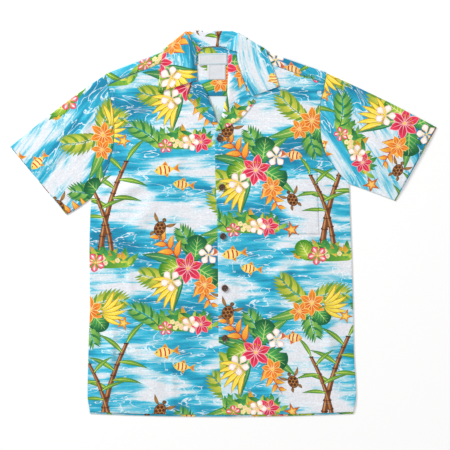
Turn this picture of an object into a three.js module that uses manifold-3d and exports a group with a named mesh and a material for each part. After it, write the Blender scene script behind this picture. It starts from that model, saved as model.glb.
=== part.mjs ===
import * as THREE from 'three';
import { mergeVertices } from 'three/addons/utils/BufferGeometryUtils.js';
import Module from 'manifold-3d';

// A camp-collar shirt laid flat on its back, collar towards +Y, front face up, +Z up.
// Left and right are the wearer's: the wearer's right lies on the -X side.

// Driving sizes, in millimetres.
const chestWidth = 560;
const cloth = 1.2;
const seamGap = 0.3;
const collarRoom = 0.6;
const hemBandDepth = 22;
const hemBandRise = 0.5;
const buttonDiameter = 14;
const buttonThickness = 2.6;
const buttonHole = 1.8;
const buttonLift = 0.35;

// One step up the pile is one cloth layer and the gap above it.
const layer = cloth + seamGap;

// Table rows are in millimetres for a chest of 560 mm and grow with the chest.
const grade = chestWidth / 560;

// Heights up the shirt: where its hems end and dip between the sides, the underarms, where the fronts
// break into their lapels, and the yoke's back seam. The fronts step up over the inner yoke's lower edge
// and again over the collar's fall.
const frontHem = -404;
const backHem = -408;
const hemDip = 7;
const hemHalf = 290;
const underarm = { right: 53, left: 83 };
const breakHeight = 196;
const neckCorner = 301;
const yokeSeam = 272;
const frontStep = { from: 235, to: 268 };
const collarStep = { from: 276, to: 292 };

// Side and armhole of the body, from the hem up: the two sides lie a little differently.
const rightEdge = [
  { y: -404, x: -285 }, { y: -371, x: -290 }, { y: -272, x: -288 }, { y: -165, x: -285 },
  { y: -58, x: -286 }, { y: 22, x: -284 }, { y: 53, x: -282 },
];
const rightArmhole = [
  { y: 53, x: -282 }, { y: 84, x: -262 }, { y: 111, x: -250 }, { y: 139, x: -241 },
  { y: 167, x: -235 }, { y: 201, x: -233 }, { y: 234, x: -235 }, { y: 268, x: -241 }, { y: 317, x: -251 },
];
const leftEdge = [
  { y: -404, x: 279 }, { y: -371, x: 285 }, { y: -272, x: 280 }, { y: -165, x: 278 },
  { y: -58, x: 275 }, { y: 23, x: 272 }, { y: 83, x: 270 },
];
const leftArmhole = [
  { y: 83, x: 270 }, { y: 108, x: 247 }, { y: 130, x: 232 }, { y: 151, x: 219 },
  { y: 185, x: 210 }, { y: 225, x: 208 }, { y: 256, x: 209 }, { y: 280, x: 215 }, { y: 320, x: 221 },
];

// Front edges: the wearer's left front laps over the right one by the button stand.
const buttonStand = 28;
const overlapSlope = 18;
const overEdge = [
  { y: -413, x: 1 }, { y: -262, x: -9 }, { y: -165, x: -10 }, { y: -5, x: -12 },
  { y: 49, x: -14 }, { y: 124, x: -17 }, { y: 196, x: -17 },
];
const overRoll = [
  { y: 196, x: -17 }, { y: 211, x: -9 }, { y: 231, x: -2 }, { y: 252, x: 3 }, { y: 276, x: 9 },
  { y: 297, x: 10 }, { y: 344, x: 11 }, { y: 362, x: 12 },
];
const underRoll = [
  { y: 196, x: 11 }, { y: 214, x: -12 }, { y: 240, x: -20 }, { y: 256, x: -27 }, { y: 280, x: -36 },
  { y: 292, x: -43 }, { y: 301, x: -52 },
];
const underNeck = [{ y: 303, x: -63 }, { y: 333, x: -65 }, { y: 362, x: -71 }];

// Free edges of the turned-out facings, from the break of the front up to the collar.
const rightLapelRim = [
  { y: 216, x: -27 }, { y: 223, x: -36 }, { y: 240, x: -54 }, { y: 257, x: -67 }, { y: 267, x: -77 },
  { y: 284, x: -74 }, { y: 296, x: -70 }, { y: 301.5, x: -68.5 },
];
const leftLapelRim = [
  { y: 197, x: -7 }, { y: 210, x: 19 }, { y: 231, x: 46 }, { y: 251, x: 62 }, { y: 261, x: 70 },
  { y: 268, x: 61.5 }, { y: 297, x: 47 }, { y: 323, x: 37 }, { y: 348, x: 29.5 }, { y: 364, x: 27.5 },
];

// Shoulder fold and neckline of the yoke, from the wearer's right armhole to the left one.
const yokeTop = [
  { x: -251, y: 317 }, { x: -127, y: 365 }, { x: -71, y: 384 }, { x: -50, y: 380 }, { x: -21, y: 379.5 },
  { x: 11, y: 380 }, { x: 34, y: 384 }, { x: 93, y: 364 }, { x: 221, y: 320 },
];
const yokeStripDepth = 22;
const shoulders = {
  right: { armholeY: 317, side: 1, kneeX: -127, neckX: -71 },
  left: { armholeY: 320, side: -1, kneeX: 93, neckX: 34 },
};

// The collar, station by station from its end on the wearer's right front, round the back neck, to the
// other end. seam is where it is sewn on, roll is its fold, rim is its outer edge, lie is 1 on top of the
// fronts and -1 under the yoke, and rise is how far the roll stands above the leaf.
const collarStations = [
  { seam: [-54, 305.5], roll: [-71.5, 300], rim: [-139, 279], lie: 1, rise: 1.5 },
  { seam: [-54.5, 317], roll: [-67, 315], rim: [-138, 294], lie: 1, rise: 2.5 },
  { seam: [-56, 335], roll: [-67, 334], rim: [-134.5, 331], lie: 1, rise: 3 },
  { seam: [-55, 353], roll: [-71, 359], rim: [-131.5, 350], lie: 1, rise: 3 },
  { seam: [-52, 365], roll: [-75.5, 389], rim: [-129, 362], lie: 1, rise: 2.5 },
  { seam: [-48, 370.5], roll: [-79, 410], rim: [-127, 372], lie: 0, rise: 0 },
  { seam: [-42, 374.5], roll: [-66, 411], rim: [-109, 353], lie: -1, rise: 0 },
  { seam: [-33, 377], roll: [-48, 410.5], rim: [-79, 342], lie: -1, rise: 0 },
  { seam: [-20, 377.5], roll: [-24, 410], rim: [-24, 338], lie: -1, rise: 0 },
  { seam: [-6, 377.5], roll: [2, 410], rim: [30, 341], lie: -1, rise: 0 },
  { seam: [3, 376], roll: [20, 410], rim: [66, 349], lie: -1, rise: 0 },
  { seam: [8, 373.5], roll: [33.5, 407], rim: [92.5, 371], lie: 0, rise: 0 },
  { seam: [12, 370], roll: [32.5, 390], rim: [95, 361], lie: 1, rise: 2.5 },
  { seam: [29.5, 366.5], roll: [33.5, 367], rim: [98, 353], lie: 1, rise: 0.6 },
  { seam: [32, 345], roll: [36.5, 345.5], rim: [103, 341], lie: 1, rise: 0.6 },
  { seam: [40.5, 319], roll: [44.5, 320.5], rim: [110.5, 321], lie: 1, rise: 0.6 },
  { seam: [50.5, 294], roll: [54, 295.5], rim: [116, 306], lie: 1, rise: 0.6 },
  { seam: [63.5, 270.5], roll: [67, 272], rim: [120, 292], lie: 1, rise: 0.6 },
];
const rollRadius = 2.3;
const creaseTurns = [70, 35, 0, -35, -70];

// Sleeve corners and the slight bow of each edge, in the plane that the sleeve lies on.
const sleeves = {
  right: {
    armhole: rightArmhole, armholeSpan: [317, 53], foldBow: [-347, 249], cuffTop: [-454, 163],
    cuffBottom: [-334, 18], underBow: [-309, 33], backShows: 0.4,
  },
  left: {
    armhole: leftArmhole, armholeSpan: [320, 83], foldBow: [342, 264], cuffTop: [455, 205],
    cuffBottom: [367, 48], underBow: [319, 66], backShows: 2.4,
  },
};
const sleeveRings = 9;

// The largest soft folds: middle of the fold, its length, its lean from the vertical (clockwise seen from
// above, in degrees), its width and how far it stands up.
const folds = [
  { x: -205, y: 70, length: 150, lean: 62, width: 52, rise: 3.4 },
  { x: -176, y: 8, length: 190, lean: 35, width: 60, rise: 2.6 },
  { x: -243, y: -285, length: 210, lean: 3, width: 56, rise: 3.2 },
  { x: -150, y: -300, length: 260, lean: -6, width: 62, rise: 2.2 },
  { x: -98, y: 95, length: 150, lean: 10, width: 56, rise: 2.6 },
  { x: -165, y: 245, length: 120, lean: 28, width: 48, rise: 2.4 },
  { x: 195, y: 92, length: 140, lean: -64, width: 52, rise: 3.4 },
  { x: 160, y: 20, length: 180, lean: -30, width: 60, rise: 2.4 },
  { x: 226, y: -232, length: 220, lean: -4, width: 56, rise: 3.0 },
  { x: 113, y: -330, length: 210, lean: 4, width: 60, rise: 3.0 },
  { x: 120, y: -120, length: 260, lean: 12, width: 70, rise: 2.0 },
  { x: 160, y: 240, length: 110, lean: -30, width: 48, rise: 2.2 },
  { x: -300, y: 190, length: 150, lean: 18, width: 44, rise: 3.6 },
  { x: -352, y: 150, length: 150, lean: 42, width: 50, rise: 2.6 },
  { x: 268, y: 205, length: 150, lean: -14, width: 44, rise: 3.6 },
  { x: 335, y: 160, length: 150, lean: -38, width: 50, rise: 2.6 },
];
const airUnderCloth = 2.2;

// Labels on the inner yoke, below the back neck.
const neckLabel = { x: -22, y: 350, width: 61, height: 25, turn: 1.5 };
const sizeTab = { x: -14, y: 321, width: 39, height: 29, turn: 0 };

// Corners of the patch pocket on the wearer's left front, anticlockwise from the lower one by the placket.
const pocketCorners = [[88.4, -24], [205.4, -24], [201.2, 110.7], [84.7, 110.7]];

const buttonHeights = [180, 76, -29, -140, -247];
const buttonCentres = [-7, -2, 0, 4, 4];
const buttonTop = 214;

// A smooth curve through table rows that never overshoots them (monotone cubic).
function through(rows, along, value) {
  const sorted = [...rows].sort((p, q) => p[along] - q[along]);
  const t = sorted.map((row) => row[along]);
  const v = sorted.map((row) => row[value]);
  const slope = t.slice(1).map((next, i) => (v[i + 1] - v[i]) / (next - t[i]));
  const tangent = t.map((_, i) => {
    if (i === 0) return slope[0];
    if (i === t.length - 1) return slope[i - 1];
    const product = slope[i - 1] * slope[i];
    return product <= 0 ? 0 : (2 * product) / (slope[i - 1] + slope[i]);
  });
  return (at) => {
    const clamped = Math.min(Math.max(at, t[0]), t[t.length - 1]);
    let i = 0;
    while (i < t.length - 2 && clamped > t[i + 1]) i += 1;
    const span = t[i + 1] - t[i];
    const s = (clamped - t[i]) / span;
    const s2 = s * s;
    const s3 = s2 * s;
    return v[i] * (2 * s3 - 3 * s2 + 1) + tangent[i] * span * (s3 - 2 * s2 + s)
      + v[i + 1] * (3 * s2 - 2 * s3) + tangent[i + 1] * span * (s3 - s2);
  };
}

function straight(rows, along, value) {
  return (at) => {
    let i = 0;
    while (i < rows.length - 2 && at > rows[i + 1][along]) i += 1;
    const s = (at - rows[i][along]) / (rows[i + 1][along] - rows[i][along]);
    return rows[i][value] + s * (rows[i + 1][value] - rows[i][value]);
  };
}

// Heights at which every piece along an armhole has a point, so that the seam's two sides match.
const armholeKnots = [53, 68, 83, 100, 118, 137, 156, 176, 196, 214, 235, 252, 268, 276];

const mix = (a, b, s) => a + (b - a) * s;
const mixPoint = (p, q, s) => [mix(p[0], q[0], s), mix(p[1], q[1], s)];
const ease = (s) => {
  const c = Math.min(Math.max(s, 0), 1);
  return c * c * (3 - 2 * c);
};
const ramp = (y, step) => Math.min(Math.max((y - step.from) / (step.to - step.from), 0), 1);
const evenly = (from, to, count) => Array.from({ length: count + 1 }, (_, i) => mix(from, to, i / count));

const sideRight = through(rightEdge, 'y', 'x');
const sideLeft = through(leftEdge, 'y', 'x');
const armRight = through(rightArmhole, 'y', 'x');
const armLeft = through(leftArmhole, 'y', 'x');
const overEdgeAt = through(overEdge, 'y', 'x');
const overRollAt = through(overRoll, 'y', 'x');
const underRollAt = through(underRoll, 'y', 'x');
const underNeckAt = straight(underNeck, 'y', 'x');
const yokeTopAt = straight(yokeTop, 'x', 'y');

// Height of each layer's underside, by how many layers lie below it at y.
const yokeLevel = (y) => layer * ramp(y, collarStep);
const innerYokeLevel = (y) => yokeLevel(y) + layer;
const frontLevel = (y) => layer * (1 + ramp(y, frontStep) + ramp(y, collarStep));

// Hems dip slightly towards the middle.
const hemAt = (x) => frontHem - hemDip * (1 - (x / hemHalf) ** 2);

function foldHeight(x, y) {
  let height = 0;
  for (const fold of folds) {
    const turn = THREE.MathUtils.degToRad(fold.lean);
    const dx = x - fold.x;
    const dy = y - fold.y;
    const down = (dx * Math.sin(turn) + dy * Math.cos(turn)) / (fold.length / 2);
    const across = (dx * Math.cos(turn) - dy * Math.sin(turn)) / (fold.width / 2);
    height += fold.rise * ease(1 - Math.abs(down)) * ease(1 - Math.abs(across));
  }
  return height;
}

// A closed body from a lower and an upper grid of points with the same rows and columns.
function closeGrids(lower, upper) {
  const rows = lower.length;
  const columns = lower[0].length;
  const positions = [...lower.flat(), ...upper.flat()].flat();
  const triangles = [];
  const low = (r, c) => r * columns + c;
  const high = (r, c) => rows * columns + low(r, c);
  const quad = (a, b, c, d) => triangles.push(a, b, c, a, c, d);
  for (let r = 0; r < rows - 1; r += 1) {
    for (let c = 0; c < columns - 1; c += 1) {
      quad(high(r, c), high(r, c + 1), high(r + 1, c + 1), high(r + 1, c));
      quad(low(r, c), low(r + 1, c), low(r + 1, c + 1), low(r, c + 1));
    }
  }
  const rim = [];
  for (let c = 0; c < columns - 1; c += 1) rim.push([0, c]);
  for (let r = 0; r < rows - 1; r += 1) rim.push([r, columns - 1]);
  for (let c = columns - 1; c > 0; c -= 1) rim.push([rows - 1, c]);
  for (let r = rows - 1; r > 0; r -= 1) rim.push([r, 0]);
  rim.forEach((here, i) => {
    const next = rim[(i + 1) % rim.length];
    quad(low(...here), low(...next), high(...next), high(...here));
  });
  return outward(positions, triangles);
}

// Builds the geometry and turns every face outward.
function outward(positions, triangles) {
  let volume = 0;
  const corner = (i) => new THREE.Vector3(...positions.slice(3 * i, 3 * i + 3));
  for (let i = 0; i < triangles.length; i += 3) {
    const [a, b, c] = [0, 1, 2].map((k) => corner(triangles[i + k]));
    volume += a.dot(b.cross(c));
  }
  if (volume < 0) triangles.reverse();
  const geometry = new THREE.BufferGeometry();
  geometry.setAttribute('position', new THREE.Float32BufferAttribute(positions, 3));
  geometry.setIndex(triangles);
  return geometry;
}

// A flat-lying panel: plan is a grid of [x, y], under gives its underside and thick its thickness.
function panel(plan, under, thick = () => cloth) {
  const lower = plan.map((row) => row.map(([x, y]) => [x, y, under(x, y)]));
  const upper = plan.map((row) => row.map(([x, y]) => [x, y, under(x, y) + thick(x, y)]));
  return closeGrids(lower, upper);
}

// Rows of constant y between a left and a right boundary; the lowest rows follow the hem.
function planOfRows(heights, leftAt, rightAt, shares, followsHem = false) {
  const hemReach = 120;
  const lowest = heights[0];
  return heights.map((y) => shares.map((share) => {
    const x = mix(leftAt(y), rightAt(y), share);
    const weight = followsHem ? Math.max(0, 1 - (y - lowest) / hemReach) : 0;
    return [x, y + weight * (hemAt(x) - hemAt(hemHalf))];
  }));
}

// The turned-up hem is thicker, up to its line of stitches.
const hemSlope = 4;
const hemBand = { from: -(frontHem + hemBandDepth + hemSlope), to: -(frontHem + hemBandDepth) };
const hemThickness = (y) => cloth + hemBandRise * ramp(-y, hemBand);

// Back: one flat panel from the hem to the yoke seam, a little longer than the fronts.
function backPanel() {
  const bandTop = backHem + hemBandDepth;
  const body = [backHem, bandTop, bandTop + hemSlope, -330, -272, -165, -58, 22];
  const upper = [...armholeKnots.slice(0, -1), yokeSeam - seamGap];
  const leftAt = (y) => (y < underarm.right ? sideRight(y) : armRight(y)) + seamGap;
  const rightAt = (y) => (y < underarm.left ? sideLeft(y) : armLeft(y)) - seamGap;
  const plan = planOfRows([...body, ...upper], leftAt, rightAt, evenly(0, 1, 4), true);
  return panel(plan, () => 0);
}

// Puffs and folds fade out at seams, under the collar and along the front edge.
function frontRelief(x, y, side, edge) {
  const fromSeam = ease(Math.abs(x - side) / 60);
  const fromEdge = ease((Math.abs(x - edge) - 50) / 60);
  const belowCollar = Math.abs(x) > 175 ? ease((300 - y) / 40) : ease((235 - y) / 50);
  const fromHem = 0.35 + 0.65 * ease((y - frontHem) / 70);
  return (airUnderCloth * fromSeam + foldHeight(x, y) * ease(Math.abs(x - side) / 25))
    * fromEdge * belowCollar * fromHem;
}

const frontRows = [
  ...[frontHem, frontHem + hemBandDepth, frontHem + hemBandDepth + hemSlope],
  ...[-340, -300, -258, -216, -174, -132],
  ...[-90, -48, -8, 28], ...armholeKnots, 292,
];

// Where a row above the armhole meets the slanted front seam of the yoke, which runs from the armhole's
// corner to a knee at the collar and on to the neck.
function yokeFrontSeam(armholeAt, { armholeY, side, kneeX, neckX }) {
  const seamY = (x) => yokeTopAt(x) - yokeStripDepth - seamGap;
  const cornerY = armholeY - yokeStripDepth;
  const corner = { x: armholeAt(cornerY) + side * seamGap, y: cornerY - seamGap };
  const rows = [corner, { x: kneeX, y: seamY(kneeX) }, { x: neckX, y: seamY(neckX) }];
  return { corner, kneeY: rows[1].y, xAt: straight(rows, 'y', 'x') };
}

// Right front: lies under the other one by the width of the button stand.
function rightFront() {
  const yokeSeamLine = yokeFrontSeam(armRight, shoulders.right);
  const leftAt = (y) => {
    if (y < underarm.right) return sideRight(y) + seamGap;
    return y < yokeSeamLine.corner.y ? armRight(y) + seamGap : yokeSeamLine.xAt(y);
  };
  const rightAt = (y) => {
    if (y <= breakHeight) return overEdgeAt(y) + buttonStand;
    return y <= neckCorner ? underRollAt(y) : underNeckAt(y);
  };
  const heights = [
    ...frontRows, yokeSeamLine.corner.y, neckCorner, neckCorner + 2, 318, 330, yokeSeamLine.kneeY, 357,
  ];
  const plan = planOfRows(heights, leftAt, rightAt, evenly(0, 1, 12), true);
  const under = (x, y) => frontLevel(y) + frontRelief(x, y, leftAt(y), rightAt(y) - buttonStand);
  const besideStand = (x, y) => ease((rightAt(y) - buttonStand - x) / 25);
  return panel(plan, under, (x, y) => mix(cloth, hemThickness(y), besideStand(x, y)));
}

// Left front: its free edge lies on top of the right front, with a short slope down beside it.
function leftFrontForm() {
  const yokeSeamLine = yokeFrontSeam(armLeft, shoulders.left);
  const rightAt = (y) => {
    if (y < underarm.left) return sideLeft(y) - seamGap;
    return y < yokeSeamLine.corner.y ? armLeft(y) - seamGap : yokeSeamLine.xAt(y);
  };
  const leftAt = (y) => (y <= breakHeight ? overEdgeAt(y) : overRollAt(y));
  const stand = [0, 0.05, (buttonStand + 2) / hemHalf, (buttonStand + overlapSlope) / hemHalf];
  const shares = [...stand, ...evenly(0.23, 1, 9)];
  const heights = [...frontRows, yokeSeamLine.corner.y, 312, 324, yokeSeamLine.kneeY, 352, 360];
  const plan = planOfRows(heights, leftAt, rightAt, shares, true);
  const overlap = { from: -(buttonStand + overlapSlope), to: -(buttonStand + 2) };
  const under = (x, y) => {
    const lift = layer * ramp(leftAt(y) - x, overlap) * (1 - ramp(y, { from: buttonTop, to: 235 }));
    return frontLevel(y) + lift + frontRelief(x, y, rightAt(y), leftAt(y));
  };
  return { plan, under };
}

function leftFront() {
  const { plan, under } = leftFrontForm();
  return panel(plan, under, (x, y) => hemThickness(y));
}

// Facings turned out at the neck, each lying on its front.
function lapel(heights, leftAt, rightAt, lift) {
  const plan = planOfRows(heights, leftAt, rightAt, evenly(0, 1, 6));
  const proud = seamGap / 2;
  return panel(plan, (x, y) => frontLevel(y) + layer + proud + lift(y));
}

function rightLapel() {
  const heights = [216, 223, 235, 243, 252, 260, 267, 268, 276, 284, 292, 301.5];
  return lapel(heights, through(rightLapelRim, 'y', 'x'), underRollAt, () => 0);
}

function leftLapel() {
  const heights = [197, 205, 214, 222, 235, 244, 252, 261, 268, 276, 284, 292, 308, 323, 336, 348, 360];
  const fade = (y) => layer * (1 - ramp(y, { from: buttonTop, to: 235 }));
  return lapel(heights, overRollAt, through(leftLapelRim, 'y', 'x'), fade);
}

// The inner yoke lies on the outer one and shows inside the neck.
function innerYoke() {
  const inset = 4.5;
  const heights = (x) => [yokeSeam, collarStep.from, collarStep.to, yokeTopAt(x) - inset];
  return panel(yokePlan(heights, inset), (x, y) => innerYokeLevel(y));
}

// Columns between the armholes; each row has its own y, and the last one follows the shoulders.
function yokePlan(heightsAt, inset) {
  const knots = yokeTop.map((row) => row.x);
  const shares = [0, 0.17, 0.34, 0.5].concat(
    [-127, -90, -71, -50, -21, 11, 34, 60, 93].map((x) => (x - knots[0]) / (knots.at(-1) - knots[0])),
    [0.82, 0.91, 1],
  ).filter((share, i, all) => all.indexOf(share) === i).sort((a, b) => a - b);
  const count = 4;
  return Array.from({ length: count }, (_, r) => shares.map((share) => {
    const topX = mix(knots[0] + inset, knots.at(-1) - inset, share);
    const y = heightsAt(topX)[r];
    const left = armRight(y) + inset;
    const right = armLeft(y) - inset;
    return [r === count - 1 ? topX : mix(left, right, share), y];
  }));
}

const wasm = await Module();
wasm.setup();

function toManifold(geometry) {
  const bare = geometry.clone();
  bare.deleteAttribute('normal');
  bare.deleteAttribute('uv');
  const merged = mergeVertices(bare, 1e-4);
  const vertProperties = new Float32Array(merged.attributes.position.array);
  const triVerts = new Uint32Array(merged.index.array);
  return new wasm.Manifold(new wasm.Mesh({ numProp: 3, vertProperties, triVerts }));
}

function toGeometry(manifold) {
  const mesh = manifold.getMesh();
  const geometry = new THREE.BufferGeometry();
  geometry.setAttribute('position', new THREE.Float32BufferAttribute(mesh.vertProperties, 3));
  geometry.setIndex([...mesh.triVerts]);
  return geometry;
}

// Patch pocket: a piece of the left front's own surface, moved out by a layer and cut to its outline.
function pocket() {
  const { plan, under } = leftFrontForm();
  const blank = panel(plan, (x, y) => under(x, y) + layer);
  const reach = 40;
  return toGeometry(toManifold(blank).intersect(wasm.Manifold.extrude([pocketCorners], reach)));
}

// Outer yoke: the back part, a rounded fold over each shoulder and a narrow strip in front of it.
function outerYoke() {
  const heights = (x) => [yokeSeam, collarStep.from, collarStep.to, yokeTopAt(x)];
  const backPart = panel(yokePlan(heights, seamGap), (x, y) => yokeLevel(y));
  let yoke = toManifold(backPart);
  const folded = [
    [yokeTop[0].x + seamGap, shoulders.right.kneeX, shoulders.right.neckX],
    [shoulders.left.neckX, shoulders.left.kneeX, yokeTop.at(-1).x - seamGap],
  ];
  for (const knots of folded) {
    const line = knots.map((x) => [x, yokeTopAt(x)]);
    yoke = yoke.add(toManifold(shoulderStrip(line)));
    yoke = yoke.add(toManifold(shoulderFold(line)));
  }
  return toGeometry(yoke);
}

function shoulderStrip(line) {
  const tuck = 0.4;
  const plan = [yokeStripDepth, 6, tuck].map((down) => line.map(([x, y]) => {
    if (x < yokeTop[0].x + 1) return [armRight(y - down) + seamGap, y - down];
    if (x > yokeTop.at(-1).x - 1) return [armLeft(y - down) - seamGap, y - down];
    return [x, y - down];
  }));
  const lowest = frontLevel(collarStep.to);
  return panel(plan, () => lowest);
}

// The fold is a band with a rounded outer side, from the back part up to the front strip.
function shoulderFold(line) {
  const low = yokeLevel(collarStep.to);
  const high = frontLevel(collarStep.to) + cloth;
  const middle = (low + high) / 2;
  const half = (high - low) / 2;
  const bulge = 1.4;
  const depth = 2.4;
  const section = [[-depth, low], ...[-90, -50, -15, 15, 50, 90].map((degrees) => {
    const turn = THREE.MathUtils.degToRad(degrees);
    return [bulge * Math.cos(turn) - 0.5, middle + half * Math.sin(turn)];
  }), [-depth, high]];
  const positions = line.flatMap(([x, y]) => section.flatMap(([out, z]) => [x, y + out, z]));
  const triangles = [];
  const n = section.length;
  for (let s = 0; s < line.length - 1; s += 1) {
    for (let i = 0; i < n; i += 1) {
      const j = (i + 1) % n;
      triangles.push(s * n + i, s * n + j, (s + 1) * n + j, s * n + i, (s + 1) * n + j, (s + 1) * n + i);
    }
  }
  const last = (line.length - 1) * n;
  for (let i = 1; i < n - 1; i += 1) {
    triangles.push(0, i + 1, i, last, last + i, last + i + 1);
  }
  return outward(positions, triangles);
}

// A wall of cloth about a middle surface given as rows of points.
function wallAbout(grid) {
  const points = grid.map((row) => row.map((p) => new THREE.Vector3(...p)));
  const within = (i, list) => list[Math.min(Math.max(i, 0), list.length - 1)];
  const at = (r, c) => within(c, within(r, points));
  const offset = (side) => points.map((row, r) => row.map((p, c) => {
    const along = at(r + 1, c).clone().sub(at(r - 1, c));
    const across = at(r, c + 1).clone().sub(at(r, c - 1));
    const normal = across.cross(along).normalize();
    return p.clone().addScaledVector(normal, (side * cloth) / 2).toArray();
  }));
  return closeGrids(offset(-1), offset(1));
}

// Collar: each station runs from the neck seam up the stand, over the roll and down to the rim.
const leafTopLevel = (y) => frontLevel(y) + layer + collarRoom + cloth / 2 - seamGap / 2;
function collarSection({ seam, roll, rim, lie, rise }) {
  const reach = Math.hypot(rim[0] - roll[0], rim[1] - roll[1]);
  const stand = Math.hypot(seam[0] - roll[0], seam[1] - roll[1]);
  const share = (lie + 1) / 2;
  const onBack = cloth / 2;
  const leafZ = (y) => mix(onBack, leafTopLevel(y), share);
  const seamZ = stand < 2 * rollRadius ? leafZ(seam[1]) : frontLevel(seam[1]) + cloth / 2;
  const beforeRoll = mixPoint(roll, seam, Math.min(0.5, rollRadius / stand));
  const afterRoll = mixPoint(roll, rim, rollRadius / reach);
  const beforeZ = mix(seamZ, leafTopLevel(roll[1]) + rise, ease(share));
  const afterZ = leafZ(roll[1]) + rise;
  const rollZ = mix((beforeZ + afterZ) / 2, Math.max(beforeZ, afterZ) + 0.3, ease(share));
  const arc = [0.25, 0.5, 0.75].map((t) => {
    const a = (1 - t) ** 2;
    const b = 2 * t * (1 - t);
    const c = t * t;
    const bend = (p, q, peak) => a * p + b * (2 * peak - (p + q) / 2) + c * q;
    return [
      bend(beforeRoll[0], afterRoll[0], roll[0]),
      bend(beforeRoll[1], afterRoll[1], roll[1]),
      bend(beforeZ, afterZ, rollZ),
    ];
  });
  const leaf = [0.2, 0.45, 0.72, 1].map((s) => {
    const p = mixPoint(afterRoll, rim, s);
    return [...p, leafZ(p[1]) + rise * (1 - ease(s / 0.45))];
  });
  const middle = mixPoint(seam, beforeRoll, 0.5);
  return [
    [...seam, seamZ],
    [...middle, mix(seamZ, beforeZ, 0.45)],
    [...beforeRoll, beforeZ],
    ...arc,
    [...afterRoll, afterZ],
    ...leaf,
  ];
}

function collar() {
  const sections = [];
  const creaseRadius = (leafTopLevel(400) - cloth / 2) / 2;
  collarStations.forEach((station, i) => {
    const before = collarStations[i - 1];
    if (station.lie !== 0) {
      if (before && before.lie === station.lie) {
        sections.push(collarSection({
          seam: mixPoint(before.seam, station.seam, 0.5),
          roll: mixPoint(before.roll, station.roll, 0.5),
          rim: mixPoint(before.rim, station.rim, 0.5),
          lie: station.lie,
          rise: mix(before.rise, station.rise, 0.5),
        }));
      }
      sections.push(collarSection(station));
      return;
    }
    const along = new THREE.Vector2(...station.rim).sub(new THREE.Vector2(...station.roll)).normalize();
    const inward = along.x < 0 ? [-along.y, along.x] : [along.y, -along.x];
    const order = before.lie > 0 ? creaseTurns : [...creaseTurns].reverse();
    for (const degrees of order) {
      const turn = THREE.MathUtils.degToRad(degrees);
      const back = creaseRadius * (1 - Math.cos(turn));
      const shift = (p) => [p[0] + inward[0] * back, p[1] + inward[1] * back];
      sections.push(collarSection({
        seam: station.seam, roll: shift(station.roll), rim: shift(station.rim), lie: Math.sin(turn), rise: 0,
      }));
    }
  });
  return wallAbout(sections);
}

// Sleeve: a flattened tube, ring by ring from the armhole to the cuff.
function sleeve({ armhole, armholeSpan, foldBow, cuffTop, cuffBottom, underBow, backShows }) {
  const side = Math.sign(cuffTop[0]);
  const armholeAt = through(armhole, 'y', 'x');
  const seamPoint = (t) => {
    const y = mix(armholeSpan[0], armholeSpan[1], t);
    return [armholeAt(y) + side * seamGap, y];
  };
  const bowed = (from, bow, to) => (s) => {
    const peak = [0, 1].map((k) => 2 * bow[k] - (from[k] + to[k]) / 2);
    return [0, 1].map((k) => (1 - s) ** 2 * from[k] + 2 * s * (1 - s) * peak[k] + s * s * to[k]);
  };
  const shoulder = seamPoint(0);
  const underarm = seamPoint(1);
  const fold = bowed(shoulder, foldBow, cuffTop);
  const under = bowed(underarm, underBow, cuffBottom);
  const place = (s, t) => [0, 1].map((k) => {
    const fromSeams = mix(seamPoint(t)[k], mix(cuffTop[k], cuffBottom[k], t), s);
    const fromEdges = mix(fold(s)[k], under(s)[k], t);
    const corners = mix(mix(shoulder[k], underarm[k], t), mix(cuffTop[k], cuffBottom[k], t), s);
    return fromSeams + fromEdges - corners;
  });
  const edgeInset = 0.018;
  const [top, bottom] = armholeSpan;
  const knots = [top - 6, top - yokeStripDepth, ...[...armholeKnots].reverse()].filter((y) => y > bottom);
  const across = [edgeInset, ...knots.map((y) => (top - y) / (top - bottom)), 1 - edgeInset]
    .filter((share) => share >= edgeInset && share <= 1 - edgeInset);
  const wallInset = 0.012;
  const cuffDirection = (t) => {
    const inner = place(0.9, t);
    const outer = place(1, t);
    const length = Math.hypot(outer[0] - inner[0], outer[1] - inner[1]);
    return [(outer[0] - inner[0]) / length, (outer[1] - inner[1]) / length];
  };
  const rings = evenly(0, 1, sleeveRings).map((s) => {
    const band = s > 0.9 ? hemBandRise : 0;
    const upperZ = (x, y, t) => {
      const fades = ease(Math.min(t, 1 - t) / 0.2);
      const meetsFront = (frontLevel(y) - layer) * (1 - ease(s / 0.4));
      const fromArmhole = 0.25 + 0.75 * ease(s / 0.25);
      const fromCuff = 1 - 0.6 * ease((s - 0.8) / 0.2);
      return layer + meetsFront + (airUnderCloth + foldHeight(x, y)) * fades * fromArmhole * fromCuff;
    };
    const point = (t, z, reachOut = 0) => {
      const [x, y] = place(s, t);
      const [ox, oy] = cuffDirection(t);
      return [x + ox * reachOut, y + oy * reachOut, z];
    };
    const lowerReach = s === 1 ? backShows : 0;
    const middle = layer - seamGap / 2;
    const lift = (t) => {
      const [x, y] = place(s, t);
      return upperZ(x, y, t);
    };
    const outer = [
      ...across.map((t) => point(t, 0, lowerReach)),
      point(1, middle),
      ...[...across].reverse().map((t) => point(t, lift(t) + cloth + band)),
      point(0, middle),
    ];
    const inner = [
      ...across.map((t) => point(t, cloth, lowerReach)),
      point(1 - wallInset, middle),
      ...[...across].reverse().map((t) => point(t, lift(t))),
      point(wallInset, middle),
    ];
    return { outer, inner };
  });
  return tube(rings);
}

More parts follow.
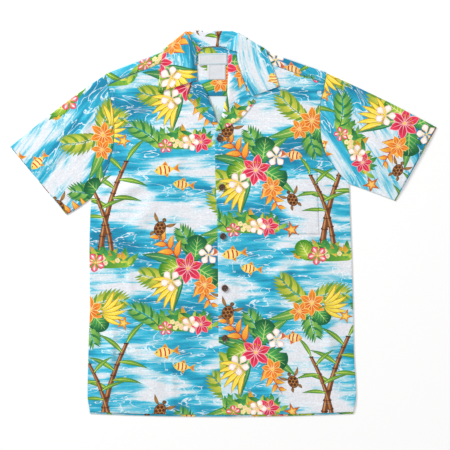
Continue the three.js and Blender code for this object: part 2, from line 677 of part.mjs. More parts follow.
// A tube with a wall, open at both ends, from rings of outer and inner points.
function tube(rings) {
  const n = rings[0].outer.length;
  const positions = rings.flatMap((ring) => [...ring.outer, ...ring.inner]).flat();
  const outer = (r, i) => r * 2 * n + (i % n);
  const inner = (r, i) => outer(r, i) + n;
  const triangles = [];
  const quad = (a, b, c, d) => triangles.push(a, b, c, a, c, d);
  for (let i = 0; i < n; i += 1) {
    for (let r = 0; r < rings.length - 1; r += 1) {
      quad(outer(r, i), outer(r, i + 1), outer(r + 1, i + 1), outer(r + 1, i));
      quad(inner(r, i), inner(r + 1, i), inner(r + 1, i + 1), inner(r, i + 1));
    }
    const last = rings.length - 1;
    quad(outer(0, i), inner(0, i), inner(0, i + 1), outer(0, i + 1));
    quad(outer(last, i), outer(last, i + 1), inner(last, i + 1), inner(last, i));
  }
  return outward(positions, triangles);
}

// A woven label: a small flat rectangle on the inner yoke.
function label({ x, y, width, height, turn }) {
  const angle = THREE.MathUtils.degToRad(turn);
  const plan = evenly(-0.5, 0.5, 2).map((v) => evenly(-0.5, 0.5, 2).map((u) => [
    x + u * width * Math.cos(angle) - v * height * Math.sin(angle),
    y + u * width * Math.sin(angle) + v * height * Math.cos(angle),
  ]));
  return panel(plan, () => innerYokeLevel(collarStep.to) + layer);
}

// A coconut-shell button: a lathe-turned disc with a raised rim and four sewing holes.
function button(x, y) {
  const radius = buttonDiameter / 2;
  const profile = [
    [0, 0], [radius - 1, 0], [radius, 1.2], [radius - 0.8, buttonThickness], [radius - 2.6, 1.8], [0, 1.7],
  ];
  const turned = new THREE.LatheGeometry(profile.map(([r, z]) => new THREE.Vector2(r, z)), 22);
  turned.rotateX(Math.PI / 2);
  let disc = toManifold(turned);
  const holeSpread = 1.5;
  for (const [sx, sy] of [[1, 1], [-1, 1], [-1, -1], [1, -1]]) {
    const drill = new THREE.CylinderGeometry(buttonHole / 2, buttonHole / 2, 8, 7);
    drill.rotateX(Math.PI / 2);
    drill.translate(sx * holeSpread, sy * holeSpread, 0);
    disc = disc.subtract(toManifold(drill));
  }
  const geometry = toGeometry(disc);
  geometry.translate(x, y, frontLevel(y) + layer + cloth + buttonLift);
  return geometry;
}

const printCotton = { color: 0x58b9d6, roughness: 0.85, metalness: 0 };
const wrongSide = { color: 0xb9dbe6, roughness: 0.9, metalness: 0 };
const whiteTape = { color: 0xf4f3ee, roughness: 0.8, metalness: 0 };
const coconut = { color: 0x3b2418, roughness: 0.45, metalness: 0 };

const shirt = new THREE.Group();
function add(name, geometry, finish) {
  geometry.scale(grade, grade, 1);
  const mesh = new THREE.Mesh(geometry, new THREE.MeshStandardMaterial(finish));
  mesh.name = name;
  shirt.add(mesh);
}

add('back', backPanel(), wrongSide);
add('yoke', outerYoke(), printCotton);
add('yoke_inner', innerYoke(), printCotton);
add('front_right', rightFront(), printCotton);
add('front_left', leftFront(), printCotton);
add('pocket', pocket(), printCotton);
add('lapel_right', rightLapel(), printCotton);
add('lapel_left', leftLapel(), printCotton);
add('collar', collar(), printCotton);
add('sleeve_right', sleeve(sleeves.right), printCotton);
add('sleeve_left', sleeve(sleeves.left), printCotton);
add('neck_label', label(neckLabel), whiteTape);
add('size_tab', label(sizeTab), whiteTape);
buttonHeights.forEach((y, i) => add(`button_${i + 1}`, button(buttonCentres[i], y), coconut));

// The origin is the middle of the garment's outline, on the surface that it lies on.
const bounds = new THREE.Box3().setFromObject(shirt);
for (const mesh of shirt.children) {
  mesh.position.set(-(bounds.min.x + bounds.max.x) / 2, -(bounds.min.y + bounds.max.y) / 2, -bounds.min.z);
}

export default shirt;
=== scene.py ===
import bmesh
import bpy
import cmath
import math
import random
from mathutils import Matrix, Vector, kdtree
from mathutils.bvhtree import BVHTree
from mathutils.geometry import delaunay_2d_cdt


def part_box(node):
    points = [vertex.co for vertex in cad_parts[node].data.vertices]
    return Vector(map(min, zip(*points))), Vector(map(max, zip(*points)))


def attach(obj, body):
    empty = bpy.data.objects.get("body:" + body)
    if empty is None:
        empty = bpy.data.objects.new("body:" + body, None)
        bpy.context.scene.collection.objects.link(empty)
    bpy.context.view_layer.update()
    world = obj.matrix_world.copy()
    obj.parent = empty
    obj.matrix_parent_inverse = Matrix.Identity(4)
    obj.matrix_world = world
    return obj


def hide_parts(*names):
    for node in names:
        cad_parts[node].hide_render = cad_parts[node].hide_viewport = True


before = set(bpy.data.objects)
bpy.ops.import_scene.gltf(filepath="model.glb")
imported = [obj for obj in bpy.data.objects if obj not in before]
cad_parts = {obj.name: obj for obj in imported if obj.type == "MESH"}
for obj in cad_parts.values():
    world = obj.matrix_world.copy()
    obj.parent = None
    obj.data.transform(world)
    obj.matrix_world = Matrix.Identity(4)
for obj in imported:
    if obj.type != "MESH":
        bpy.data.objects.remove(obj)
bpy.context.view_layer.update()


# Camera, floor and light.
# The shirt lies on a white table and is seen from straight above; a large soft light comes from the
# upper left, with a weaker one from the other side.
def linked(name, data):
    made = bpy.data.objects.new(name, data)
    bpy.context.collection.objects.link(made)
    return made


def feed(tree, node, inputs):
    for name, value in inputs.items():
        if isinstance(value, bpy.types.NodeSocket):
            tree.links.new(value, node.inputs[name])
        else:
            node.inputs[name].default_value = value


def new_material(name, looks):
    material = bpy.data.materials.new(name)
    material.use_nodes = True
    shader = material.node_tree.nodes["Principled BSDF"]
    feed(material.node_tree, shader, looks)
    return material, material.node_tree, shader


picture_side = 450
metres_per_pixel = 0.00214
camera_data = bpy.data.cameras.new("overhead")
camera_data.type = "ORTHO"
camera_data.ortho_scale = picture_side * metres_per_pixel
camera = linked("overhead", camera_data)
camera.location = (0.0035, -0.0031, 2.0)
bpy.context.scene.camera = camera

table_half = 6.0
table_mesh = bpy.data.meshes.new("table")
table_mesh.from_pydata([(-table_half, -table_half, 0), (table_half, -table_half, 0),
                        (table_half, table_half, 0), (-table_half, table_half, 0)], [], [(0, 1, 2, 3)])
white_table = new_material("white_table", {"Base Color": (0.99, 0.99, 0.99, 1), "Roughness": 0.9})[0]
table_mesh.materials.append(white_table)
linked("table", table_mesh)

lamps = (("window", (-3.0, 2.8, 1.9), 1.2, 205), ("reflector", (1.9, -1.3, 1.9), 1.6, 14))
for name, place, size, watts in lamps:
    lamp = bpy.data.lights.new(name, "AREA")
    lamp.size = size
    lamp.energy = watts
    holder = linked(name, lamp)
    holder.location = place
    holder.rotation_euler = (-Vector(place)).to_track_quat("-Z", "Y").to_euler()
sky = bpy.data.worlds.new("studio")
bpy.context.scene.world = sky
sky.use_nodes = True
feed(sky.node_tree, sky.node_tree.nodes["Background"], {"Color": (1.0, 0.995, 0.99, 1), "Strength": 0.54})
bpy.context.scene.view_settings.view_transform = "Standard"


# The print.
# The cotton is printed with a generic tropical design: blossoms, broad leaves, canes, turtles, sea stars
# and fish over brushed sea colours. Each motif is drawn from formulas as flat shapes on a repeat.
# A shape is (outline, inner colour, outer colour, centre, reach); points are complex numbers in metres.
def ink(code):
    channels = [int(code[i:i + 2], 16) / 255 for i in (0, 2, 4)]
    return tuple(c / 12.92 if c <= 0.04045 else ((c + 0.055) / 1.055) ** 2.4 for c in channels)


def paint(code):
    return (*ink(code), 1)


def turned(degrees):
    return cmath.exp(1j * math.radians(degrees))


def sized(points, size, at=0j):
    return [at + size * p for p in points]


def signed_area(ring):
    return sum((a.conjugate() * b).imag for a, b in zip(ring, ring[1:] + ring[:1])) / 2


def counterclockwise(ring):
    return list(ring) if signed_area(ring) > 0 else list(reversed(ring))


def shape(points, inner, outer=None, centre=None, reach=None):
    points = counterclockwise(points)
    centre = sum(points) / len(points) if centre is None else centre
    reach = max(abs(p - centre) for p in points) if reach is None else reach
    return [points, ink(inner), ink(outer or inner), centre, reach]


def moved(shapes, at, turn=0.0, size=1.0):
    by = turned(turn) * size
    return [[sized(s[0], by, at), s[1], s[2], at + by * s[3], s[4] * size] for s in shapes]


# A blade runs along +X from 0 to its length, widest at the given share, with its spine bent sideways.
def blade(length, width, widest=0.5, bend=0.0, steps=9, ripple=0.0):
    power = math.log(0.5) / math.log(widest)
    sides = []
    for k in list(range(steps)) + list(range(-steps, 0)):
        s = abs(k) / steps
        half = 0.5 * width * math.sin(math.pi * s ** power) * (1 + ripple * math.cos(9.5 * s * math.pi))
        slope = complex(1, 2 * bend * s)
        out = 1j * half * slope / abs(slope)
        sides.append(complex(length * s, bend * length * s * s) + (out if k < 0 else -out))
    return sides


def vein(length, width, bend=0.0, start=0.0, steps=4):
    sides = []
    for side, order in ((-1, range(steps + 1)), (1, range(steps, -1, -1))):
        for k in order:
            s = start + (1 - start) * k / steps
            taper = 0.5 * width * (1 - 0.8 * k / steps)
            sides.append(complex(length * s, bend * length * s * s + side * taper))
    return sides


def disc(centre, radius, corners=9):
    return [centre + radius * turned(360 * k / corners) for k in range(corners)]


def frangipani(body, edge, heart):
    petal = [shape(blade(1.0, 0.72, 0.68, 0.16), edge),
             shape(sized(blade(1.0, 0.62, 0.68, 0.16), 0.92, 0.05), heart, body, 0j, 0.7),
             shape(sized(blade(1.0, 0.34, 0.6, 0.2, 6), 0.55, 0.3 + 0.02j), body, "ffffff", 0j, 0.8)]
    petals = [part for k in range(5) for part in moved(petal, 0j, 72 * k + 8)]
    return petals + [shape(disc(0j, 0.1), "f0a21c", heart)]


def star_lily(body, deep, edge):
    petals = []
    for k in (0, 2, 4, 1, 3, 5):
        length = 1.0 if k % 2 else 0.92
        face = sized(blade(length, 0.48, 0.5, 0.08, 9, 0.06), 0.94, 0.04)
        petal = [shape(blade(length, 0.56, 0.5, 0.08, 9, 0.07), edge), shape(face, deep, body, 0j, 0.8)]
        for side in (-0.11, 0.11):
            petal.append(shape(sized(vein(1.0, 0.07, side), 0.62, 0.12 + 0.4j * side), deep))
        petal.append(shape(sized(vein(1.0, 0.09, 0.08), 0.8, 0.08), edge, body, 0j, 1.0))
        petals += moved(petal, 0j, 60 * k + 5)
    for a in (20, 48, 76, 104, 132):
        petals.append(shape(sized(vein(1.0, 0.06, 0.1), 0.5 * turned(a)), "ffd9a8"))
        petals.append(shape(disc(turned(a) * (0.5 + 0.05j), 0.055, 6), "f6c52d", "d98a14"))
    return petals + [shape(disc(0j, 0.09), "fff2b0", "f3c33a")]


def split_leaf(dark, light, rib):
    outline = []
    lobes = 6
    for k in range(8 * lobes):
        a = math.pi * k / (4 * lobes)
        heart = 0.62 + 0.34 * math.cos(a) + 0.1 * math.cos(2 * a)
        share = k if k <= 4 * lobes else 8 * lobes - k
        notch = 0.6 if share % 4 == 2 and 4 < share < 4 * lobes - 2 else 1.0
        outline.append(heart * notch * cmath.exp(1j * a))
    parts = [shape(outline, dark, dark, 0j, 1.0),
             shape(sized(outline, 0.88, 0.02), light, dark, 0.1 + 0j, 0.8),
             shape(sized(vein(1.0, 0.06), 1.1, -0.12), rib)]
    for side in (1, -1):
        for k in range(4):
            lie = 0.52 * (1 - 0.12 * k) * turned(side * (62 - 9 * k))
            parts.append(shape(sized(vein(1.0, 0.07), lie, -0.02 + 0.2 * k), rib))
    return parts


def ribbon_leaf(length, width, bend, dark, light, stripe):
    face = sized(blade(length, width * 0.8, 0.42, bend), 0.95, 0.02 * length)
    parts = [shape(blade(length, width, 0.42, bend), dark), shape(face, light, dark, 0j, length)]
    for offset, tint in ((-0.2, dark), (0.0, stripe), (0.2, dark)):
        line = sized(vein(length, width * 0.1, bend), 0.86, complex(0.04 * length, offset * width))
        parts.append(shape(line, tint))
    return parts


def feather_leaf(length, bend, dark, light, pairs=11):
    parts = []
    for k in range(1, pairs + 1):
        s = k / (pairs + 1)
        spine = complex(length * s, bend * length * s * s)
        reach = length * (0.42 * math.sin(math.pi * (0.12 + 0.8 * s)) + 0.05)
        for side in (1, -1):
            tint = light if (k + side) % 3 else dark
            leaflet = shape(blade(reach, reach * 0.24, 0.4, -0.1 * side, 4), tint, dark, 0j, reach)
            parts += moved([leaflet], spine, math.degrees(math.atan(2 * bend * s)) + side * (58 - 22 * s))
    return parts + [shape(vein(length, length * 0.04, bend), dark)]


def lobster_claw(tip, body, deep):
    parts = [shape(vein(1.1, 0.07, 0.08), "a8481c")]
    for k in range(6):
        s = 0.12 + 0.15 * k
        side = 1 if k % 2 else -1
        length = 0.5 - 0.045 * k
        face = sized(blade(length, 0.17 - 0.012 * k, 0.35, 0.3 * side, 7), 0.93, 0.02)
        claw = [shape(blade(length, 0.22 - 0.015 * k, 0.35, 0.3 * side, 7), deep),
                shape(face, body, tip, 0j, length)]
        parts += moved(claw, complex(s, 0.08 * s * s), 34 * side)
    return parts


def banana_hand():
    fruit = [shape(blade(1.0, 0.23, 0.5, 0.34, 8), "b98a10"),
             shape(sized(blade(1.0, 0.18, 0.5, 0.34, 8), 0.93, 0.03), "d7c431", "ffe34a", 0j, 0.45),
             shape(sized(vein(1.0, 0.05, 0.34), 0.75, 0.1 + 0.04j), "fff29a")]
    parts = []
    for k, a in enumerate((-58, -40, -24, -8, 10, 28)):
        parts += moved(fruit, 0.03j * k, a, 1 - 0.04 * abs(k - 2.5))
    return parts + [shape(sized(vein(1.0, 0.3, 0.1), 0.3, -0.22), "6f7a1c", "8c9a2a")]


def cane(height, width, lean, leaf_turns):
    def stem(y):
        return complex(lean * (y / height) ** 2 * height, y)

    parts = []
    joints = 9
    for k in range(joints):
        w = width * (1 - 0.35 * k / joints)
        low, high = stem(height * k / joints), stem(height * (k + 0.94) / joints)
        bark = [low - 0.5 * w, low + 0.5 * w, high + 0.44 * w, high - 0.44 * w]
        shine = [low - 0.34 * w, low + 0.02 * w, high - 0.02 * w, high - 0.3 * w]
        knot = [high - 0.6 * w, high + 0.6 * w, high + (0.52 + 0.3j) * w, high + (-0.52 + 0.3j) * w]
        parts += [shape(bark, "8a5230", "5d3018"), shape(shine, "d29a62", "b0703f"), shape(knot, "4c2712")]
    for k, turn in enumerate(leaf_turns):
        side = 1 if k % 2 else -1
        leaf = ribbon_leaf(height * 0.3, height * 0.05, -0.3 * side, "2b7a34", "a5cf3e", "e6ec7c")
        parts += moved(leaf, stem(height * (0.42 + 0.58 * (k + 1) / len(leaf_turns))), 90 - side * turn)
    return parts


def turtle():
    parts = []
    for at, turn, length in ((0.26 + 0.2j, 68, 0.62), (0.26 - 0.2j, -68, 0.62),
                             (-0.3 + 0.18j, 140, 0.34), (-0.3 - 0.18j, -140, 0.34)):
        bend = 0.35 if turn in (-68, 140) else -0.35
        parts += moved([shape(blade(length, 0.2, 0.45, bend), "b98a4e", "5a2f14")], at, turn)
    body = [0.42 * math.cos(a) + 0.33j * math.sin(a) for a in (math.radians(d) for d in range(0, 360, 20))]
    parts += [shape(disc(0.53 + 0j, 0.12), "b98a4e", "5a2f14"), shape(body, "5a2f14"),
              shape(sized(body, 0.88), "c98a4b", "8f5a2c")]
    for x, y in ((0.22, 0), (0.0, 0), (-0.22, 0), (0.11, 0.17), (0.11, -0.17), (-0.12, 0.17), (-0.12, -0.17)):
        parts.append(shape(disc(complex(x, y), 0.095, 6), "7a4420", "4a2610"))
    return parts


def sea_star(body, deep):
    arms = [(1.0 if k % 2 == 0 else 0.38) * turned(36 * k + 90) for k in range(10)]
    parts = [shape(arms, deep), shape(sized(arms, 0.85), body, deep, 0j, 1.0),
             shape(sized(arms, 0.55), "ffe27a", body, 0j, 0.6)]
    return parts + [shape(disc(0.5 * turned(72 * k + 90), 0.06, 5), deep) for k in range(5)]


def reef_fish(body, stripe):
    parts = [shape([0.88 + 0j, 1.25 + 0.24j, 1.16 + 0j, 1.25 - 0.24j], stripe, body),
             shape([0.35 + 0.2j, 0.6 + 0.42j, 0.72 + 0.16j], stripe, body),
             shape([0.4 - 0.2j, 0.62 - 0.38j, 0.7 - 0.16j], stripe, body),
             shape(blade(1.0, 0.5, 0.42, 0.0, 9), "fff3a0", body)]
    for x, h in ((0.3, 0.2), (0.52, 0.21), (0.72, 0.14)):
        bar = ((-0.035, -h), (0.035, -h), (0.06, 0), (0.035, h), (-0.035, h), (-0.01, 0))
        parts.append(shape([complex(x + dx, y) for dx, y in bar], stripe))
    return parts + [shape(disc(0.13 + 0.05j, 0.035, 6), "2a1a12")]


# A garland of small leaves and blossoms, thicker in its middle.
def garland(width, height, count, seed):
    rng = random.Random(seed)
    greens = (("1f7a3d", "6ebc46"), ("2f8f46", "b7d64a"), ("4f9a24", "e6e25a"), ("c47a1f", "f4ce4a"),
              ("17643a", "4fae58"))
    base = [complex(width * (k / 12 - 0.5), height * (0.55 * math.sqrt(1 - (k / 6 - 1) ** 2) + 0.12))
            for k in range(13)]
    base += [complex(width * (0.5 - k / 12), -0.1 * height * math.sin(math.pi * k / 12))
             for k in range(1, 12)]
    parts = [shape(base, "3f8f38", "8cbc3c")]
    for _ in range(count):
        x = rng.uniform(-0.5, 0.5)
        at = complex(width * x, height * math.sqrt(1 - 3.6 * x * x) * rng.uniform(0.0, 1.0) ** 0.7)
        dark, light = greens[rng.randrange(len(greens))]
        leaf = blade(rng.uniform(0.018, 0.03), rng.uniform(0.008, 0.012), 0.45, rng.uniform(-0.3, 0.3), 3)
        parts += moved([shape(leaf, light, dark, 0j, 0.026)], at, rng.uniform(15, 165))
    for _ in range(count // 7):
        x = rng.uniform(-0.4, 0.4)
        at = complex(width * x, height * rng.uniform(0.15, 0.8))
        tint = ("f59a2a", "ffd84a", "ef5a6a")[rng.randrange(3)]
        parts += [shape(disc(at + 0.003 * turned(72 * k), 0.0028, 5), tint, "fff0c0") for k in range(5)]
    return parts


# One repeat of the cloth. Columns: motif, x and y from the lower left corner, turn, size.
repeat_width = 0.33
repeat_height = 0.39


def draw_repeat():
    white_bloom = frangipani("fff6ee", "e3b3c0", "ffd95e")
    coral_bloom = frangipani("f2607a", "c2244a", "ffd27a")
    red_lily = star_lily("f23a5c", "b5123a", "ffb3bf")
    orange_lily = star_lily("f9962a", "d9581a", "ffd98a")
    broad = split_leaf("14603a", "4cae52", "b9dd7a")
    lime = split_leaf("3f8a24", "b6d23c", "f0f2a0")
    claw = lobster_claw("ffcf4a", "f0802a", "c4501c")
    long_leaf = ribbon_leaf(0.095, 0.024, 0.25, "24754c", "74c06c", "d8ea8c")
    lime_leaf = ribbon_leaf(0.088, 0.022, -0.22, "358f46", "aed356", "eef3a0")
    green_feather = feather_leaf(0.072, 0.3, "2f8040", "93c95a")
    gold_feather = feather_leaf(0.08, -0.35, "6d9a30", "dfd850")
    places = (
        (cane(0.21, 0.014, 0.2, (60, 75, 50, 82, 40, 20)), 0.232, 0.06, -4),
        (cane(0.17, 0.012, -0.24, (70, 55, 80, 35, 15)), 0.258, 0.055, 3),
        (garland(0.11, 0.028, 72, 3), 0.243, 0.04), (lime, 0.2, 0.052, 120, 0.032),
        (coral_bloom, 0.222, 0.05, 30, 0.021), (long_leaf, 0.085, 0.235, 150), (lime_leaf, 0.095, 0.25, 52),
        (long_leaf, 0.08, 0.225, -118), (lime_leaf, 0.1, 0.23, -20), (green_feather, 0.1, 0.25, 96),
        (gold_feather, 0.07, 0.215, 196), (broad, 0.106, 0.262, 82, 0.04), (lime, 0.066, 0.236, 205, 0.038),
        (broad, 0.118, 0.228, -32, 0.042), (claw, 0.072, 0.25, 128, 0.074), (claw, 0.112, 0.208, -66, 0.066),
        (banana_hand(), 0.064, 0.2, -150, 0.058), (red_lily, 0.09, 0.232, 12, 0.036),
        (white_bloom, 0.054, 0.206, 40, 0.023), (white_bloom, 0.134, 0.262, 5, 0.022),
        (orange_lily, 0.126, 0.196, 40, 0.026), (gold_feather, 0.206, 0.342, 160),
        (gold_feather, 0.206, 0.342, 30), (green_feather, 0.206, 0.336, -95), (lime_leaf, 0.2, 0.33, -150),
        (broad, 0.222, 0.322, -50, 0.033), (orange_lily, 0.21, 0.338, 20, 0.031),
        (orange_lily, 0.184, 0.32, 55, 0.024), (banana_hand(), 0.236, 0.33, 10, 0.052),
        (garland(0.13, 0.028, 80, 8), 0.078, 0.1), (green_feather, 0.03, 0.106, 130),
        (red_lily, 0.118, 0.112, 60, 0.024), (white_bloom, 0.095, 0.112, 60, 0.019),
        (coral_bloom, 0.042, 0.104, 10, 0.016), (turtle(), 0.03, 0.318, 62, 0.038),
        (turtle(), 0.17, 0.17, 118, 0.034), (sea_star("f08a24", "b4501a"), 0.168, 0.106, 14, 0.02),
        (sea_star("f2b42c", "c26a1c"), 0.282, 0.31, -20, 0.017),
        (reef_fish("f4c62c", "d23a2a"), 0.018, 0.05, 8, 0.044),
        (reef_fish("f4c62c", "d23a2a"), 0.058, 0.024, -6, 0.038),
        (reef_fish("f49a2c", "b8324a"), 0.19, 0.262, 172, 0.038),
    )
    return [part for motif, x, y, *lie in places for part in moved(motif, complex(x, y), *lie)]


repeat_shapes = draw_repeat()


def extent(points):
    return (complex(min(p.real for p in points), min(p.imag for p in points)),
            complex(max(p.real for p in points), max(p.imag for p in points)))


# Shapes that fall on a sheet: the sheet is cut from the cloth at an offset and a turn.
def print_on(outline, offset, turn):
    back = turned(-turn)
    low, high = extent(sized(outline, turned(turn), offset))
    placed = []
    for i in range(math.floor(low.real / repeat_width) - 1, math.ceil(high.real / repeat_width) + 1):
        drop = 0.5 * repeat_height * (i % 2)
        for j in range(math.floor(low.imag / repeat_height) - 2, math.ceil(high.imag / repeat_height) + 1):
            corner = complex(i * repeat_width, j * repeat_height + drop)
            for points, inner, outer, centre, reach in repeat_shapes:
                here = sized(points, 1, corner)
                near, far = extent(here)
                beside = far.real < low.real or near.real > high.real
                if beside or far.imag < low.imag or near.imag > high.imag:
                    continue
                placed.append(([back * (p - offset) for p in here], inner, outer,
                               back * (corner + centre - offset), reach))
    return placed


# The cloth's material: motif colours from the sheet's own attribute, brushed sea colours between them
# from the print's own coordinates, a fine plain weave and the slight sheen of pressed cotton.
def new_tree(kind, name, inputs, outputs):
    tree = bpy.data.node_groups.new(name, kind)
    for in_out, sockets in (("INPUT", inputs), ("OUTPUT", outputs)):
        for label, socket in sockets:
            tree.interface.new_socket(name=label, in_out=in_out, socket_type="NodeSocket" + socket)
    return tree, tree.nodes.new("NodeGroupInput").outputs, tree.nodes.new("NodeGroupOutput")


def add_node(tree, kind, inputs, **settings):
    made = tree.nodes.new(kind)
    for name, value in settings.items():
        setattr(made, name, value)
    feed(tree, made, inputs)
    return made.outputs


def noise(tree, vector, scale, detail, distortion=0.0):
    inputs = {"Vector": vector, "Scale": scale, "Detail": detail, "Distortion": distortion}
    return add_node(tree, "ShaderNodeTexNoise", inputs)["Fac"]


def reckon(tree, operation, *values):
    return add_node(tree, "ShaderNodeMath", dict(enumerate(values)), operation=operation)[0]


def blend(tree, factor, a, b, **settings):
    inputs = {"Factor": factor, "A": a, "B": b}
    return add_node(tree, "ShaderNodeMix", inputs, data_type="RGBA", **settings)["Result"]


def bumped(tree, height, strength, distance):
    inputs = {"Height": height, "Strength": strength, "Distance": distance}
    return add_node(tree, "ShaderNodeBump", inputs)["Normal"]


def colour_steps(tree, value, steps):
    made = tree.nodes.new("ShaderNodeValToRGB")
    elements = made.color_ramp.elements
    elements.remove(elements[1])
    elements[0].position = steps[0][0]
    elements[0].color = paint(steps[0][1])
    for position, code in steps[1:]:
        elements.new(position).color = paint(code)
    feed(tree, made, {"Fac": value})
    return made.outputs["Color"]


def brushed_sea_group():
    tree, given, result = new_tree("ShaderNodeTree", "brushed_sea", [("Vector", "Vector")],
                                   [("Color", "Color")])

    def streaks(stretch, shift, *looks):
        inputs = {"Vector": given["Vector"], "Scale": (stretch, 1.0, 1.0), "Location": shift}
        return noise(tree, add_node(tree, "ShaderNodeMapping", inputs)["Vector"], *looks)

    hairs = reckon(tree, "MULTIPLY_ADD", streaks(0.1, (0.0, 0.0, 6.0), 300.0, 2.0, 0.3), 0.2, -0.64)
    brush = reckon(tree, "MULTIPLY_ADD", streaks(0.12, (0.0, 0.0, 2.0), 95.0, 4.0, 0.5), 0.62, hairs)
    tone = reckon(tree, "MULTIPLY_ADD", streaks(0.5, (3.1, 0.4, 0.0), 11.0, 2.0, 0.6), 1.5, brush)
    sea = colour_steps(tree, tone, [(0.28, "1583a8"), (0.40, "24a2c4"), (0.49, "38b9d8"), (0.55, "7bcbe0"),
                                    (0.61, "c3e2ec"), (0.68, "e4e8ee"), (1.0, "ebe7ec")])
    crests = colour_steps(tree, streaks(0.32, (7.0, 2.0, 5.0), 30.0, 3.0, 1.6), [
        (0.0, "000000"), (0.485, "000000"), (0.5, "ffffff"), (0.515, "000000"), (1.0, "000000")])
    feed(tree, result, {"Color": blend(tree, crests, sea, paint("eefaff"))})
    return tree


def cloth_grain_group():
    tree, given, result = new_tree("ShaderNodeTree", "cloth_grain",
                                   [("Vector", "Vector"), ("Gathered", "Float")],
                                   [("Height", "Float"), ("Mottle", "Float")])
    at = given["Vector"]
    height = reckon(tree, "MULTIPLY", noise(tree, at, 130.0, 1.0, 0.4), given["Gathered"])
    height = reckon(tree, "MULTIPLY_ADD", noise(tree, at, 1800.0, 2.0), 0.12, height)
    height = reckon(tree, "MULTIPLY_ADD", noise(tree, at, 24.0, 2.0, 0.8), 1.6, height)
    feed(tree, result, {"Height": height, "Mottle": noise(tree, at, 260.0, 4.0, 0.6)})
    return tree


brushed_sea = brushed_sea_group()
cloth_grain = cloth_grain_group()


def printed_cotton(name, wrong_side):
    material, tree, shader = new_material(name, {"Roughness": 0.78, "Sheen Weight": 0.12,
                                                 "Sheen Roughness": 0.5, "Specular IOR Level": 0.25})
    on_print = add_node(tree, "ShaderNodeUVMap", {}, uv_map="print")["UV"]
    beside_seam = add_node(tree, "ShaderNodeAttribute", {}, attribute_name="pucker")["Fac"]
    grain = add_node(tree, "ShaderNodeGroup", {"Vector": on_print, "Gathered": beside_seam},
                     node_tree=cloth_grain)
    sea = add_node(tree, "ShaderNodeGroup", {"Vector": on_print}, node_tree=brushed_sea)["Color"]
    inks = add_node(tree, "ShaderNodeVertexColor", {}, layer_name="inks")
    tone = add_node(tree, "ShaderNodeMapRange", {"Value": grain["Mottle"], "From Min": 0.3, "From Max": 0.7,
                                                 "To Min": 0.89, "To Max": 1.09})["Result"]
    colour = blend(tree, 1.0, blend(tree, inks["Alpha"], sea, inks["Color"]), tone, blend_type="MULTIPLY")
    if wrong_side:
        colour = blend(tree, 0.62, colour, paint("dff0f5"))
    feed(tree, shader, {"Base Color": colour, "Normal": bumped(tree, grain["Height"], 0.5, 0.0006)})
    return material


right_side = printed_cotton("printed_cotton", False)
reverse_side = printed_cotton("printed_cotton_reverse", True)


# A sheet of printed cloth: its flat outline is filled with triangles whose edges follow the motifs, each
# point is put in place by the piece's own rule, and a wall is given to the result.
cloth_thickness = 0.0006
mesh_step = 0.0055
edge_rounding = 0.0028
seam_reach = 0.006
border_bow = 0.00004


def away_from(*lines):
    tree = kdtree.KDTree(sum(len(line) * 4 for line in lines))
    for line in lines:
        for a, b in zip(line, line[1:]):
            for k in range(4):
                p = a + (b - a) * k / 4
                tree.insert((p.real, p.imag, 0), 0)
    tree.balance()
    return lambda x, y: tree.find((x, y, 0))[2]


def triangles_in(points, edges, loops):
    corners = [Vector((p.real, p.imag)) for p in points]
    flat, _, faces, _, _, origins = delaunay_2d_cdt(corners, edges, loops, 1, 1e-6, True)
    return [complex(*p) for p in flat], [(face, max(loop)) for face, loop in zip(faces, origins) if 0 in loop]


# Shapes drawn later hide those under them, so only the borders that show go into a sheet's mesh.
def visible_borders(outline, placed):
    points = list(outline)
    loops = [list(range(len(outline)))]
    for ring in placed:
        loops.append(list(range(len(points), len(points) + len(ring[0]))))
        points += ring[0]
    flat, cells = triangles_in(points, [], loops)
    tops = {}
    for face, top in cells:
        for a, b in zip(face, face[1:] + face[:1]):
            tops.setdefault((min(a, b), max(a, b)), []).append(top)
    links = {}
    for (a, b), sides in tops.items():
        if len(sides) == 2 and sides[0] != sides[1]:
            links.setdefault(a, set()).add(b)
            links.setdefault(b, set()).add(a)
    for v, ends in links.items():
        if len(ends) == 2:
            a, b = ends
            chord = flat[b] - flat[a]
            bow = abs((chord.conjugate() * (flat[v] - flat[a])).imag) / max(abs(chord), 1e-9)
            if bow < border_bow and b not in links[a]:
                links[a] = links[a] - {v} | {b}
                links[b] = links[b] - {v} | {a}
                links[v] = set()
    used = [v for v, ends in links.items() if ends]
    number = {v: len(outline) + i for i, v in enumerate(used)}
    borders = [(number[a], number[b]) for a in used for b in links[a] if a < b]
    tree = BVHTree.FromPolygons([(p.real, p.imag, 0.0) for p in flat], [face for face, _ in cells])
    return [flat[v] for v in used], borders, lambda p: cells[tree.find_nearest((p.real, p.imag, 0.0))[2]][1]


